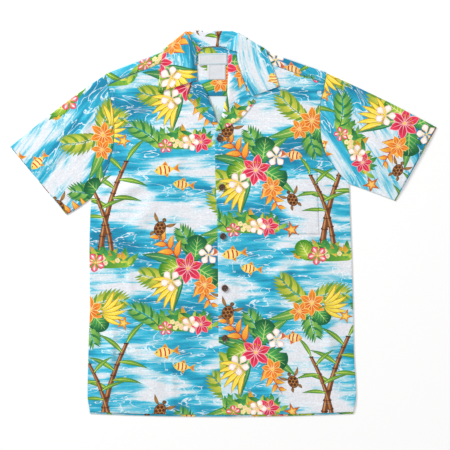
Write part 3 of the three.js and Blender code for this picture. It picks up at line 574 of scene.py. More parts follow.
# Returns the mesh and the area of its cut. The rows are where its stitches will run.
def printed_sheet(outline, place, offset=0j, turn=0.0, edge_drop=0.0, faces_up=True, extra=(), rows=()):
    outline = counterclockwise(outline)
    low, high = extent(outline)
    placed = print_on(outline, offset, turn)
    corners, borders, top_shape = visible_borders(outline, placed)
    points = outline + corners
    for before, p, after in zip(outline[-1:] + outline, outline, outline[1:] + outline[:1]):
        along = after - before
        if abs(along) > 1e-6:
            inward = 1j * along / abs(along)
            points += [p + inward * edge_rounding * share for share in (0.35, 1.0)]
    points += extra
    points += [p for row in rows for p in row]
    for line in range(int((high.imag - low.imag) / mesh_step)):
        for column in range(int((high.real - low.real) / mesh_step)):
            points.append(low + mesh_step * complex(column + 0.5 + 0.25 * (line % 2), line + 0.5))
    flat, cells = triangles_in(points, borders, [list(range(len(outline)))])
    kept = []
    for face, _ in cells:
        around = [flat[v] for v in face]
        facing_up = signed_area(around) > 0
        kept.append((face if facing_up == faces_up else face[::-1], top_shape(sum(around) / 3)))
    used = sorted({v for face, _ in kept for v in face})
    renumber = {v: i for i, v in enumerate(used)}
    from_rim = away_from(outline + outline[:1])
    from_seam = away_from(*rows) if rows else from_rim
    spots = []
    puckers = []
    for v in used:
        at = (flat[v].real, flat[v].imag)
        x, y, z = place(*at)
        away = from_rim(*at)
        spots.append((x, y, z - edge_drop * math.exp(-(away / edge_rounding) ** 2)))
        puckers.append(math.exp(-(min(away, from_seam(*at)) / seam_reach) ** 2))
    cloth_points = sized(flat, turned(turn), offset)
    uvs = []
    tints = []
    for face, top in kept:
        for v in face:
            uvs += (cloth_points[v].real, cloth_points[v].imag)
            if top:
                _, inner, outer, centre, reach = placed[top - 1]
                s = min(1.0, abs(flat[v] - centre) / reach)
                tints += (*(a + (b - a) * s for a, b in zip(inner, outer)), 1.0)
            else:
                tints += (1.0, 1.0, 1.0, 0.0)
    mesh = bpy.data.meshes.new("cloth")
    mesh.from_pydata(spots, [], [[renumber[v] for v in face] for face, _ in kept])
    mesh.uv_layers.new(name="print")
    mesh.color_attributes.new("inks", "FLOAT_COLOR", "CORNER")
    mesh.attributes.new("pucker", "FLOAT", "POINT")
    mesh.attributes["pucker"].data.foreach_set("value", puckers)
    mesh.uv_layers["print"].data.foreach_set("uv", uvs)
    mesh.color_attributes["inks"].data.foreach_set("color", tints)
    mesh.polygons.foreach_set("use_smooth", [True] * len(mesh.polygons))
    return mesh, signed_area(outline)


def give_wall(piece, thickness):
    shell = piece.modifiers.new("wall", "SOLIDIFY")
    shell.thickness = thickness
    shell.offset = 0.0
    return shell


def stand_for(piece, node):
    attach(piece, "root")
    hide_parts(node)


# Where a hem or cuff is turned in, both faces show the print.
def cloth_piece(name, sheets, print_up=True, both_printed=False, thickness=cloth_thickness,
                turned_in=None):
    made = [linked(name + "_cloth", mesh) for mesh, _ in sheets]
    piece = made[0]
    if len(made) > 1:
        with bpy.context.temp_override(active_object=piece, selected_editable_objects=made):
            bpy.ops.object.join()
    faces = [right_side, right_side if both_printed else reverse_side]
    for material in (faces if print_up else faces[::-1]) + [right_side, right_side]:
        piece.data.materials.append(material)
    for polygon in piece.data.polygons:
        polygon.material_index = 2 if turned_in and turned_in(polygon.center) else 0
    give_wall(piece, thickness).material_offset = 1
    piece.modifiers.new("even_normals", "WEIGHTED_NORMAL").mode = "FACE_AREA"
    stand_for(piece, name)


# Back.
# One panel of printed cotton from the hem to the yoke seam; it lies on the table face down, so its pale
# reverse shows inside the neck. Its edge tables are shared by every panel beside it.
def through(rows):
    rows = sorted(rows)
    t = [row[0] for row in rows]
    v = [row[1] for row in rows]
    slope = [(v[i + 1] - v[i]) / (t[i + 1] - t[i]) for i in range(len(t) - 1)]
    tangent = [slope[0]]
    for a, b in zip(slope, slope[1:]):
        tangent.append(0.0 if a * b <= 0 else 2 * a * b / (a + b))
    tangent.append(slope[-1])

    def at(here):
        here = min(max(here, t[0]), t[-1])
        i = 0
        while i < len(t) - 2 and here > t[i + 1]:
            i += 1
        span = t[i + 1] - t[i]
        s = (here - t[i]) / span
        return (v[i] * (2 * s ** 3 - 3 * s ** 2 + 1) + tangent[i] * span * (s ** 3 - 2 * s ** 2 + s)
                + v[i + 1] * (3 * s ** 2 - 2 * s ** 3) + tangent[i + 1] * span * (s ** 3 - s ** 2))
    return at


def straight(rows):
    def at(here):
        i = 0
        while i < len(rows) - 2 and here > rows[i + 1][0]:
            i += 1
        s = (here - rows[i][0]) / (rows[i + 1][0] - rows[i][0])
        return rows[i][1] + s * (rows[i + 1][1] - rows[i][1])
    return at


def mix(a, b, s):
    return a + (b - a) * s


def ease(s):
    s = min(max(s, 0.0), 1.0)
    return s * s * (3 - 2 * s)


def ramp(y, low, high):
    return ease((y - low) / (high - low))


# Columns: height above the shirt's middle, distance across from it.
right_side_at = through([(-0.404, -0.285), (-0.371, -0.290), (-0.272, -0.288), (-0.165, -0.285),
                         (-0.058, -0.286), (0.022, -0.284), (0.053, -0.282)])
right_armhole_at = through([(0.053, -0.282), (0.084, -0.262), (0.111, -0.250), (0.139, -0.241),
                            (0.167, -0.235), (0.201, -0.233), (0.234, -0.235), (0.268, -0.241),
                            (0.317, -0.251)])
left_side_at = through([(-0.404, 0.279), (-0.371, 0.285), (-0.272, 0.280), (-0.165, 0.278),
                        (-0.058, 0.275), (0.023, 0.272), (0.083, 0.270)])
left_armhole_at = through([(0.083, 0.270), (0.108, 0.247), (0.130, 0.232), (0.151, 0.219), (0.185, 0.210),
                           (0.225, 0.208), (0.256, 0.209), (0.280, 0.215), (0.320, 0.221)])
right_underarm, left_underarm = 0.053, 0.083
yoke_seam = 0.272
front_hem, back_hem = -0.404, -0.408
layer = 0.0015
wall = 0.0012
seam_gap = 0.0003
hem_depth = 0.020
stitch_step = 0.006

# The tables above start from the middle of the photographed shirt; this is where it lies in the frame.
tab_place = complex(-0.014, 0.321)
tab_low, tab_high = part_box("size_tab")
middle = complex((tab_low[0] + tab_high[0]) / 2, (tab_low[1] + tab_high[1]) / 2) - tab_place


def settled(x, y, z):
    return (x + middle.real, y + middle.imag, z)


def between(a, b, count):
    return [mix(a, b, k / count) for k in range(count + 1)]


def upright(at, low, high):
    return [complex(at(y), y) for y in between(low, high, max(1, round(abs(high - low) / stitch_step)))]


def hem_at(x, level):
    return level - 0.007 * (1 - (x / 0.29) ** 2)


def hem_line(left, right, level, up=0.0):
    count = round((right - left) / stitch_step)
    return [complex(x, hem_at(x, level) + up) for x in between(left, right, count)]


def hem_fold(x, y, level):
    return 1 - ramp(y - hem_at(x, level), hem_depth - 0.0005, hem_depth + 0.0015)


# Long straight runs get points between their ends, and doubled points go.
def cut_line(points):
    result = []
    for here, after in zip(points, points[1:] + points[:1]):
        if result and abs(here - result[-1]) < 0.0004:
            continue
        result.append(here)
        count = math.ceil(abs(after - here) / 0.007)
        result += [here + (after - here) * k / count for k in range(1, count)]
    while abs(result[0] - result[-1]) < 0.0004:
        result.pop()
    return result


# Machine stitches: a row follows its path on the cloth, one bead of thread for each stitch.
def stitch_row_tree():
    inputs = [("Geometry", "Geometry"), ("Pitch", "Float"), ("Length", "Float"), ("Radius", "Float"),
              ("Turn", "Float"), ("Thread", "Material")]
    tree, given, result = new_tree("GeometryNodeTree", "stitch_row", inputs, inputs[:1])
    curve = add_node(tree, "GeometryNodeMeshToCurve", {"Mesh": given["Geometry"]})["Curve"]
    spots = add_node(tree, "GeometryNodeCurveToPoints", {"Curve": curve, "Length": given["Pitch"]},
                     mode="LENGTH")
    bead = add_node(tree, "GeometryNodeMeshUVSphere", {"Segments": 6, "Rings": 4, "Radius": 0.5})["Mesh"]
    width = reckon(tree, "MULTIPLY", given["Radius"], 2.0)
    size = add_node(tree, "ShaderNodeCombineXYZ", {"X": given["Length"], "Y": width, "Z": width})["Vector"]
    bead = add_node(tree, "GeometryNodeTransform", {"Geometry": bead, "Scale": size})["Geometry"]
    along = add_node(tree, "FunctionNodeAlignRotationToVector", {"Vector": spots["Tangent"]},
                     axis="X")["Rotation"]
    turn = add_node(tree, "ShaderNodeCombineXYZ", {"Z": given["Turn"]})["Vector"]
    lie = add_node(tree, "FunctionNodeRotateRotation", {"Rotation": along, "Rotate By": turn},
                   rotation_space="LOCAL")["Rotation"]
    uneven = add_node(tree, "FunctionNodeRandomValue", {"Min": 0.88, "Max": 1.08, "Seed": 5},
                      data_type="FLOAT")["Value"]
    beads = add_node(tree, "GeometryNodeInstanceOnPoints", {
        "Points": spots["Points"], "Instance": bead, "Scale": uneven, "Rotation": lie})["Instances"]
    real = add_node(tree, "GeometryNodeRealizeInstances", {"Geometry": beads})["Geometry"]
    smooth = add_node(tree, "GeometryNodeSetShadeSmooth", {"Geometry": real})["Geometry"]
    threaded = add_node(tree, "GeometryNodeSetMaterial", {"Geometry": smooth, "Material": given["Thread"]})
    feed(tree, result, {"Geometry": threaded["Geometry"]})
    return tree


def grained(tree, vector, dark, light):
    grain = add_node(tree, "ShaderNodeGroup", {"Vector": vector}, node_tree=cloth_grain)
    return blend(tree, grain["Mottle"], dark, light)


def thread_material(name, code):
    material, tree, shader = new_material(name, {"Roughness": 0.6, "Sheen Weight": 0.2})
    place = add_node(tree, "ShaderNodeTexCoord", {})["Object"]
    feed(tree, shader, {"Base Color": grained(tree, place, (*(0.8 * c for c in ink(code)), 1), paint(code))})
    return material


stitch_row = stitch_row_tree()
stitch_inputs = {item.name: item.identifier for item in stitch_row.interface.items_tree
                 if item.in_out == "INPUT"}
pale_thread = thread_material("pale_thread", "cfe2e8")
brown_thread = thread_material("brown_thread", "5a3a2c")


def sew(name, rows, place, lift, pitch=0.0029, length=0.0022, radius=0.0002, turn=0.0, thread=pale_thread,
        slot="print_cloth"):
    spots = []
    edges = []
    for row in rows:
        first = len(spots)
        spots += [Vector(place(p.real, p.imag)) + Vector((0, 0, lift)) for p in row]
        edges += [(i, i + 1) for i in range(first, len(spots) - 1)]
    mesh = bpy.data.meshes.new(name + "_path")
    mesh.from_pydata(spots, edges, [])
    path = linked(name + "_path", mesh)
    stitches = path.modifiers.new("stitches", "NODES")
    stitches.node_group = stitch_row
    for label, value in (("Pitch", pitch), ("Length", length), ("Radius", radius), ("Turn", turn),
                         ("Thread", thread)):
        stitches[stitch_inputs[label]] = value
    made = bpy.data.meshes.new_from_object(path.evaluated_get(bpy.context.evaluated_depsgraph_get()))
    bpy.data.objects.remove(path)
    piece = linked(name, made)
    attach(piece, "root")


def sunk_lift(inset, edge_drop):
    return cloth_thickness / 2 - edge_drop * math.exp(-(inset / edge_rounding) ** 2)


def body_right_edge(y):
    return (right_side_at(y) if y < right_underarm else right_armhole_at(y)) + seam_gap


def body_left_edge(y):
    return (left_side_at(y) if y < left_underarm else left_armhole_at(y)) - seam_gap


def back_place(x, y):
    return settled(x, y, wall / 2 + 0.0003 * hem_fold(x, y, back_hem))


def in_back_hem(spot):
    x, y = spot.x - middle.real, spot.y - middle.imag
    return y < hem_at(x, back_hem) + hem_depth


near_hem = -0.39
back_outline = cut_line(
    hem_line(body_right_edge(back_hem), body_left_edge(back_hem), back_hem)
    + upright(body_left_edge, back_hem, yoke_seam - seam_gap)
    + upright(body_right_edge, yoke_seam - seam_gap, back_hem))
back_row = hem_line(body_right_edge(near_hem) + 0.004, body_left_edge(near_hem) - 0.004, back_hem, hem_depth)
back_sheet = printed_sheet(back_outline, back_place, 0.11 + 0.07j, rows=[back_row])
cloth_piece("back", [back_sheet], print_up=False, turned_in=in_back_hem)
sew("back_hem_stitches", [back_row], back_place, -cloth_thickness / 2)


# Yoke.
# The outer yoke lies under the inner one, folds forward over both shoulders and ends in a narrow strip
# that is sewn to the top of each front. Its print is cut on its own, apart from the back's and the fronts'.
def yoke_level(y):
    return layer * ramp(y, 0.276, 0.292)


def front_level(y):
    return layer * (1 + ramp(y, 0.235, 0.268) + ramp(y, 0.276, 0.292))


yoke_top_at = straight([(-0.251, 0.317), (-0.127, 0.365), (-0.071, 0.384), (-0.050, 0.380), (-0.021, 0.3795),
                        (0.011, 0.380), (0.034, 0.384), (0.093, 0.364), (0.221, 0.320)])
strip_depth = 0.022
strip_drop = 0.0006
strip_level = front_level(0.292) + wall / 2
fold_radius = (strip_level - yoke_level(0.292) - wall / 2) / 2
fold_length = math.pi * fold_radius
behind_fold = 0.004
fold_bulge = 0.0012
strip_rise = 0.0012
seam_inset = 0.0025


def yoke_outline(bottom, inset, shift):
    tops = [-0.251 + inset] + [k * 0.006 for k in range(-41, 37)] + [0.221 - inset]
    top = [complex(x, yoke_top_at(x) - shift) for x in reversed(tops)]
    left = upright(lambda y: right_armhole_at(y) + inset, 0.317 - shift, bottom)
    right = upright(lambda y: left_armhole_at(y) - inset, bottom, 0.320 - shift)
    return cut_line([complex(left[-1].real, bottom)] + right + top + left)


# A shoulder strip is flat as (along the fold, down from behind it).
def shoulder_fold(line, armhole_x, armhole_at, side):
    edge_at = straight(line)

    def place(x, w):
        if w < behind_fold:
            return settled(x, edge_at(x) - behind_fold + w, yoke_level(0.292) + wall / 2)
        turn = (w - behind_fold) / fold_radius
        if turn < math.pi:
            level = strip_level - fold_radius * (1 + math.cos(turn))
            return settled(x, edge_at(x) + fold_bulge * math.sin(turn), level)
        down = w - behind_fold - fold_length
        y = edge_at(x) - down
        reach = armhole_at(y) + side * seam_gap - armhole_x
        near = max(0.0, 1 - abs(x - armhole_x) / 0.03)
        return settled(x + reach * near, y, strip_level + strip_rise * math.sin(math.pi * down / strip_depth))

    start, end = line[0][0], line[-1][0]
    xs = between(start, end, 40)
    depth = behind_fold + fold_length + strip_depth
    sides = [depth * k / 5 for k in range(1, 5)]
    outline = [complex(x, 0) for x in xs] + [complex(end, w) for w in sides]
    outline += [complex(x, depth) for x in reversed(xs)] + [complex(start, w) for w in reversed(sides)]
    extra = [complex(mix(start, end, (k + 0.5) / 45), w)
             for w in between(behind_fold, behind_fold + fold_length, 6) for k in range(45)]
    seam = [complex(x, depth - seam_inset) for x in between(start, end, 30)[1:-1]]
    return outline, place, extra, seam


def yoke_place(x, y):
    return settled(x, y, yoke_level(y) + wall / 2)


yoke_row_ends = (right_armhole_at(0.274) + 0.003, left_armhole_at(0.274) - 0.003)
yoke_row = [complex(x, 0.2745) for x in between(*yoke_row_ends, 60)]
outer_outline = yoke_outline(yoke_seam, seam_gap, 0.003)
yoke_sheets = [printed_sheet(outer_outline, yoke_place, 0.05 + 0.31j, rows=[yoke_row])]
shoulder_seams = []
for name, line, armhole_at, side, offset in (
        ("yoke_stitches_right", [(-0.2507, 0.317), (-0.127, 0.365), (-0.071, 0.384)], right_armhole_at, 1,
         0.21 + 0.11j),
        ("yoke_stitches_left", [(0.034, 0.384), (0.093, 0.364), (0.2207, 0.320)], left_armhole_at, -1,
         0.02 + 0.26j)):
    armhole_x = line[0][0] if side > 0 else line[-1][0]
    outline, place, extra, seam = shoulder_fold(line, armhole_x, armhole_at, side)
    yoke_sheets.append(printed_sheet(outline, place, offset, 8 * side, strip_drop, extra=extra, rows=[seam]))
    shoulder_seams.append((name, [seam], place, sunk_lift(seam_inset, strip_drop)))
cloth_piece("yoke", yoke_sheets, print_up=False)
sew("yoke_back_stitches", [yoke_row], yoke_place, -cloth_thickness / 2)
for seam in shoulder_seams:
    sew(*seam)


# Inner yoke.
# A second yoke layer lies on the outer one, print side up; it shows inside the neck behind the label.
def inner_yoke_place(x, y):
    return settled(x, y, yoke_level(y) + layer + wall / 2)


inner_outline = yoke_outline(yoke_seam - 0.0005, 0.0045, 0.0045)
inner_sheet = printed_sheet(inner_outline, inner_yoke_place, 0.19 + 0.02j, edge_drop=0.0005)
cloth_piece("yoke_inner", [inner_sheet])


# Neck label and size tab.
# Two lengths of white satin tape, left bare: the label is sewn down all round, with its ends turned under,
# and the tab hangs from below it.
def woven_tape(border):
    name = "woven_tape_bordered" if border else "woven_tape"
    material, tree, shader = new_material(name, {"Roughness": 0.5, "Sheen Weight": 0.25,
                                                 "Specular IOR Level": 0.4})
    on_tape = add_node(tree, "ShaderNodeUVMap", {}, uv_map="tape")["UV"]
    waves = {"Vector": on_tape, "Scale": 700.0, "Distortion": 1.2, "Detail": 1.0}
    ribs = add_node(tree, "ShaderNodeTexWave", waves, wave_profile="SIN", bands_direction="Y")["Fac"]
    colour = grained(tree, on_tape, paint("c9cdd2"), paint("e3e6ea"))
    if border:
        height = add_node(tree, "ShaderNodeSeparateXYZ", {"Vector": on_tape})["Y"]
        from_middle = reckon(tree, "ABSOLUTE", height)
        lines = colour_steps(tree, reckon(tree, "MULTIPLY", from_middle, 80.0), [
            (0.0, "000000"), (0.745, "000000"), (0.75, "ffffff"), (0.80, "ffffff"), (0.805, "000000"),
            (0.86, "000000"), (0.865, "ffffff"), (0.885, "ffffff"), (0.89, "000000")])
        colour = blend(tree, lines, colour, paint("7db9c4"))
    feed(tree, shader, {"Base Color": colour, "Normal": bumped(tree, ribs, 0.35, 0.0001)})
    return material


def tape_piece(name, centre, width, height, degrees, level, curl, border):
    columns, lines = 46, 24
    spots, uvs = [], []
    for j in range(lines + 1):
        v = height * (0.5 - 0.5 * math.cos(math.pi * j / lines)) - height / 2
        for i in range(columns + 1):
            u = width * (0.5 - 0.5 * math.cos(math.pi * i / columns)) - width / 2
            p = centre + turned(degrees) * complex(u, v)
            side = width / 2 - abs(u)
            end = height / 2 - abs(v)
            turned_under = 0.0003 * (1 - ramp(side, 0.0040, 0.0048))
            drop = 0.0005 * math.exp(-(min(side, end) / 0.0010) ** 2)
            sway = 0.00012 * math.sin(u * 190 + v * 60) + 0.0001 * math.sin(v * 310 - u * 90)
            lower = curl * ease(0.5 - v / height) ** 2
            spots.append(settled(p.real, p.imag, level + turned_under + sway + lower - drop))
            uvs.append((u, v))
    across = columns + 1
    quads = [(j * across + i, j * across + i + 1, (j + 1) * across + i + 1, (j + 1) * across + i)
             for j in range(lines) for i in range(columns)]
    mesh = bpy.data.meshes.new(name + "_tape")
    mesh.from_pydata(spots, [], quads)
    on_tape = [c for quad in quads for v in quad for c in uvs[v]]
    mesh.uv_layers.new(name="tape").data.foreach_set("uv", on_tape)
    mesh.polygons.foreach_set("use_smooth", [True] * len(quads))
    mesh.materials.append(woven_tape(border))
    piece = linked(name + "_tape", mesh)
    give_wall(piece, 0.0004)
    stand_for(piece, name)


def path_through(*corners):
    points = [corners[0]]
    for a, b in zip(corners, corners[1:]):
        count = math.ceil(abs(b - a) / 0.004)
        points += [a + (b - a) * k / count for k in range(1, count + 1)]
    return points


label_middle = -0.022 + 0.350j
label_turn = 1.5
label_level = 0.0052
tab_middle = -0.014 + 0.3223j
tab_level = 0.0047
tab_curl = 0.0002
tape_piece("size_tab", tab_middle, 0.039, 0.0316, 0, tab_level, tab_curl, False)
tape_piece("neck_label", label_middle, 0.061, 0.025, label_turn, label_level, 0.0, True)
label_corners = [label_middle + turned(label_turn) * complex(sx * 0.0292, sy * 0.0112)
                 for sx, sy in ((-1, -1), (1, -1), (1, 1), (-1, 1))]
label_row = path_through(*label_corners, label_corners[0])
sew("label_stitches", [label_row], lambda x, y: settled(x, y, label_level), 0.0003, 0.0024, 0.0018, 0.00016,
    slot="label_tape")


# Fronts.
# The wearer's right front lies under the left one by the width of the button stand. Both rest on the back
# with a little air, and keep the soft creases of folding, wear and pressing.
button_stand = 0.028
roll_starts = 0.196
over_edge_at = through([(-0.413, 0.001), (-0.262, -0.009), (-0.165, -0.010), (-0.005, -0.012),
                        (0.049, -0.014), (0.124, -0.017), (0.196, -0.017)])
over_roll_at = through([(0.196, -0.017), (0.211, -0.009), (0.231, -0.002), (0.252, 0.003), (0.276, 0.009),
                        (0.297, 0.010), (0.344, 0.011), (0.362, 0.012)])
under_roll_at = through([(0.196, 0.011), (0.214, -0.012), (0.240, -0.020), (0.256, -0.027), (0.280, -0.036),
                         (0.292, -0.043), (0.301, -0.052)])
under_neck_at = straight([(0.303, -0.063), (0.333, -0.065), (0.362, -0.071)])

# Columns: middle x and y, length, lean from the vertical in degrees, width, rise.
creases = (
    (-0.205, 0.070, 0.150, 62, 0.040, 0.0038), (-0.176, 0.008, 0.190, 35, 0.050, 0.0028),
    (-0.243, -0.285, 0.210, 3, 0.040, 0.0034), (-0.150, -0.300, 0.260, -6, 0.050, 0.0024),
    (-0.098, 0.095, 0.150, 10, 0.040, 0.0028), (-0.165, 0.245, 0.120, 28, 0.040, 0.0026),
    (0.195, 0.092, 0.140, -64, 0.040, 0.0036), (0.160, 0.020, 0.180, -30, 0.050, 0.0026),
    (0.226, -0.232, 0.220, -4, 0.042, 0.0032), (0.113, -0.330, 0.210, 4, 0.044, 0.0032),
    (0.120, -0.120, 0.260, 12, 0.060, 0.0022), (0.160, 0.240, 0.110, -30, 0.040, 0.0024),
    (-0.300, 0.190, 0.150, 18, 0.036, 0.0038), (-0.352, 0.150, 0.150, 42, 0.040, 0.0028),
    (0.268, 0.205, 0.150, -14, 0.036, 0.0038), (0.335, 0.160, 0.150, -38, 0.040, 0.0028),
    (-0.2375, -0.284, 0.190, 2, 0.019, 0.0026), (-0.109, -0.345, 0.190, -3, 0.019, 0.0028),
    (0.111, -0.370, 0.110, 0, 0.018, 0.0024), (0.223, -0.235, 0.110, -18, 0.018, 0.0024),
    (-0.096, 0.107, 0.120, 0, 0.022, 0.0024), (-0.252, 0.070, 0.100, 38, 0.020, 0.0028),
    (0.297, 0.066, 0.090, -39, 0.019, 0.0028), (0.281, 0.050, 0.070, -28, 0.016, 0.0022),
    (-0.040, -0.200, 0.180, 5, 0.022, 0.0014), (0.070, 0.160, 0.120, -12, 0.022, 0.0016),
    (-0.385, 0.130, 0.110, 35, 0.018, 0.0018), (0.385, 0.180, 0.120, -25, 0.018, 0.0018),
    (0.180, -0.060, 0.150, 8, 0.024, 0.0017), (-0.200, -0.120, 0.170, -4, 0.024, 0.0017),
)


def crease_height(x, y):
    height = 0.0
    for cx, cy, length, lean, width, rise in creases:
        turn = math.radians(lean)
        dx, dy = x - cx, y - cy
        down = (dx * math.sin(turn) + dy * math.cos(turn)) / (length / 2)
        if abs(down) < 1:
            across = (dx * math.cos(turn) - dy * math.sin(turn)) / (width / 2)
            height += rise * ease(1 - abs(down)) * ease(1 - abs(across))
    return height


def front_height(x, y, side, edge):
    from_seam = ease(abs(x - side) / 0.06)
    from_edge = ease((abs(x - edge) - 0.05) / 0.06)
    below_collar = mix(ease((0.235 - y) / 0.05), ease((0.300 - y) / 0.04), ease((abs(x) - 0.150) / 0.05))
    from_hem = 0.35 + 0.65 * ease((y - front_hem) / 0.07)
    puff = 0.0022 * from_seam + crease_height(x, y) * ease(abs(x - side) / 0.025)
    turned_up = 0.0005 * hem_fold(x, y, front_hem)
    return front_level(y) + wall / 2 + puff * from_edge * below_collar * from_hem + turned_up


def right_front_edge(y):
    return over_edge_at(y) + button_stand if y <= roll_starts else under_roll_at(y)


def left_front_edge(y):
    return over_edge_at(y) if y <= roll_starts else over_roll_at(y)


def below_roll(y):
    return layer * (1 - ramp(y, 0.214, 0.235))


def right_front_place(x, y):
    return settled(x, y, front_height(x, y, body_right_edge(y), right_front_edge(y) - button_stand))


def left_front_place(x, y):
    edge = left_front_edge(y)
    overlap = below_roll(y) * (1 - ease((x - edge - button_stand - 0.002) / 0.016))
    return settled(x, y, front_height(x, y, body_left_edge(y), edge) + overlap)


right_seam_y = 0.317 - strip_depth - seam_gap
left_seam_y = 0.320 - strip_depth - seam_gap
right_front_outline = cut_line(
    hem_line(body_right_edge(front_hem), right_front_edge(front_hem), front_hem)
    + upright(right_front_edge, front_hem, 0.301) + upright(under_neck_at, 0.303, 0.3615)
    + [-0.071 + 0.3617j, -0.127 + 0.3427j, complex(body_right_edge(right_seam_y), right_seam_y)]
    + upright(body_right_edge, right_seam_y, front_hem))
left_front_outline = cut_line(
    hem_line(left_front_edge(front_hem), body_left_edge(front_hem), front_hem)
    + upright(body_left_edge, front_hem, left_seam_y)
    + [0.093 + 0.3417j, 0.034 + 0.3617j] + upright(left_front_edge, 0.361, front_hem))
right_front_rows = [
    hem_line(body_right_edge(near_hem) + 0.004, right_front_edge(near_hem) - 0.002, front_hem, hem_depth),
    [complex(right_armhole_at(y) + 0.006, y) for y in between(0.062, 0.286, 60)]]
left_front_rows = [
    hem_line(left_front_edge(near_hem) + 0.003, body_left_edge(near_hem) - 0.004, front_hem, hem_depth),
    [complex(left_armhole_at(y) - 0.006, y) for y in between(0.092, 0.288, 52)]]
left_print = 0.02 + 0.12j
for name, outline, place, offset, rows, flat, rests_on in (
        ("front_right", right_front_outline, right_front_place, 0.165 + 0.33j, right_front_rows,
         (0.31, 0.785), ["back", "yoke_inner"]),
        ("front_left", left_front_outline, left_front_place, left_print, left_front_rows,
         (0.30, 0.785), ["front_right", "back", "yoke_inner"])):
    above_hem = [p + 0.002j for p in rows[0]]
    sheet = printed_sheet(outline, place, offset, edge_drop=0.0006, extra=above_hem, rows=rows)
    cloth_piece(name, [sheet])
sew("front_stitches_right", right_front_rows, right_front_place, cloth_thickness / 2)
sew("front_stitches_left", left_front_rows, left_front_place, cloth_thickness / 2)


# Pocket.
# A patch of the same cloth on the wearer's left chest, cut so that its print runs on from the front's; it
# is turned in at the sides and sewn close to its edge, with a hemmed mouth.
pocket_corners = (0.0884 - 0.024j, 0.2054 - 0.024j, 0.2012 + 0.1107j, 0.0847 + 0.1107j)
pocket_inset = 0.002
pocket_drop = 0.0009


def pocket_place(x, y):
    px, py, pz = left_front_place(x, y)
    return (px, py, pz + layer)


low_in, low_out, high_out, high_in = (c + d * pocket_inset for c, d in
                                      zip(pocket_corners, (1 + 1j, -1 + 1j, -1 - 1j, 1 - 1j)))
pocket_rows = [path_through(high_in, low_in, low_out, high_out),
               path_through(high_in - 0.02j, high_out - 0.02j)]
pocket_sheet = printed_sheet(cut_line(list(pocket_corners)), pocket_place, left_print + 0.0014 + 0.0008j,
                             edge_drop=pocket_drop, rows=pocket_rows)
cloth_piece("pocket", [pocket_sheet])
sew("pocket_stitches", pocket_rows[:1], pocket_place, sunk_lift(pocket_inset, pocket_drop))
sew("pocket_mouth_stitches", pocket_rows[1:], pocket_place, cloth_thickness / 2)


# Lapels.
# The top of each facing is turned out at the neck and lies on its front, with a soft roll where it turns.
right_rim_at = through([(0.216, -0.027), (0.223, -0.036), (0.240, -0.054), (0.257, -0.067), (0.267, -0.077),
                        (0.284, -0.074), (0.296, -0.070), (0.3015, -0.0685)])
left_rim_at = through([(0.197, -0.007), (0.210, 0.019), (0.231, 0.046), (0.251, 0.062), (0.261, 0.070),
                       (0.268, 0.0615), (0.297, 0.047), (0.323, 0.037), (0.348, 0.0295), (0.364, 0.0275)])


def lapel_height(y, away):
    away = max(0.0, away)
    crown = 0.0011 * math.exp(-((away - 0.006) / 0.0055) ** 2) - 0.0009 * math.exp(-(away / 0.0016) ** 2)
    return front_level(y) + layer + seam_gap / 2 + wall / 2 + crown


def right_lapel_place(x, y):
    return settled(x, y, lapel_height(y, under_roll_at(y) - x))


def left_lapel_place(x, y):
    return settled(x, y, lapel_height(y, x - over_roll_at(y)) + below_roll(y))


right_lapel_outline = cut_line(upright(right_rim_at, 0.3015, 0.216) + upright(under_roll_at, 0.216, 0.3015))
left_lapel_outline = cut_line(upright(over_roll_at, 0.360, 0.197) + upright(left_rim_at, 0.197, 0.360))
right_lapel_row = [complex(right_rim_at(y) + 0.006, y) for y in (0.236 + 0.004 * k for k in range(15))]
left_lapel_row = [complex(left_rim_at(y) - 0.006, y) for y in (0.204 + 0.004 * k for k in range(27))]
for name, outline, place, offset, turn, row, flat, rests_on in (
        ("lapel_right", right_lapel_outline, right_lapel_place, 0.11 + 0.05j, 24, right_lapel_row,
         (0.06, 0.09), "front_right"),
        ("lapel_left", left_lapel_outline, left_lapel_place, 0.265 + 0.13j, -28, left_lapel_row,
         (0.08, 0.17), "front_left")):
    cloth_piece(name, [printed_sheet(outline, place, offset, turn, 0.0004, rows=[row])])
sew("lapel_stitches_right", [right_lapel_row], right_lapel_place, cloth_thickness / 2)
sew("lapel_stitches_left", [left_lapel_row], left_lapel_place, cloth_thickness / 2)


# Collar.
# One folded band: the stand rises from the neck seam, rolls over and falls as a leaf on each front, and
# behind the neck its fall is tucked under the yoke. Both faces are printed.
# Columns: seam, roll and rim in millimetres, lie (1 on the fronts, -1 under the yoke), rise of the roll.
collar_stations = (
    ((-54, 305.5), (-71.5, 300), (-139, 279), 1, 1.5), ((-54.5, 317), (-67, 315), (-138, 294), 1, 2.5),
    ((-56, 335), (-67, 334), (-134.5, 331), 1, 3), ((-55, 353), (-71, 359), (-131.5, 350), 1, 3),
    ((-52, 365), (-75.5, 389), (-129, 362), 1, 2.5), ((-48, 370.5), (-79, 410), (-127, 372), 0, 0),
    ((-42, 374.5), (-66, 411), (-109, 353), -1, 0), ((-33, 377), (-48, 410.5), (-79, 342), -1, 0),
    ((-20, 377.5), (-24, 410), (-24, 338), -1, 0), ((-6, 377.5), (2, 410), (30, 341), -1, 0),
    ((3, 376), (20, 410), (66, 349), -1, 0), ((8, 373.5), (33.5, 407), (92.5, 371), 0, 0),
    ((12, 370), (32.5, 390), (95, 361), 1, 2.5), ((29.5, 366.5), (33.5, 367), (98, 353), 1, 0.6),
    ((32, 345), (36.5, 345.5), (103, 341), 1, 0.6), ((40.5, 319), (44.5, 320.5), (110.5, 321), 1, 0.6),
    ((50.5, 294), (54, 295.5), (116, 306), 1, 0.6), ((63.5, 270.5), (67, 272), (120, 292), 1, 0.6),
)
roll_radius = 0.0023
collar_room = 0.0006
collar_thickness = 0.0008


def leaf_level(y):
    return front_level(y) + layer + collar_room + wall / 2 - seam_gap / 2


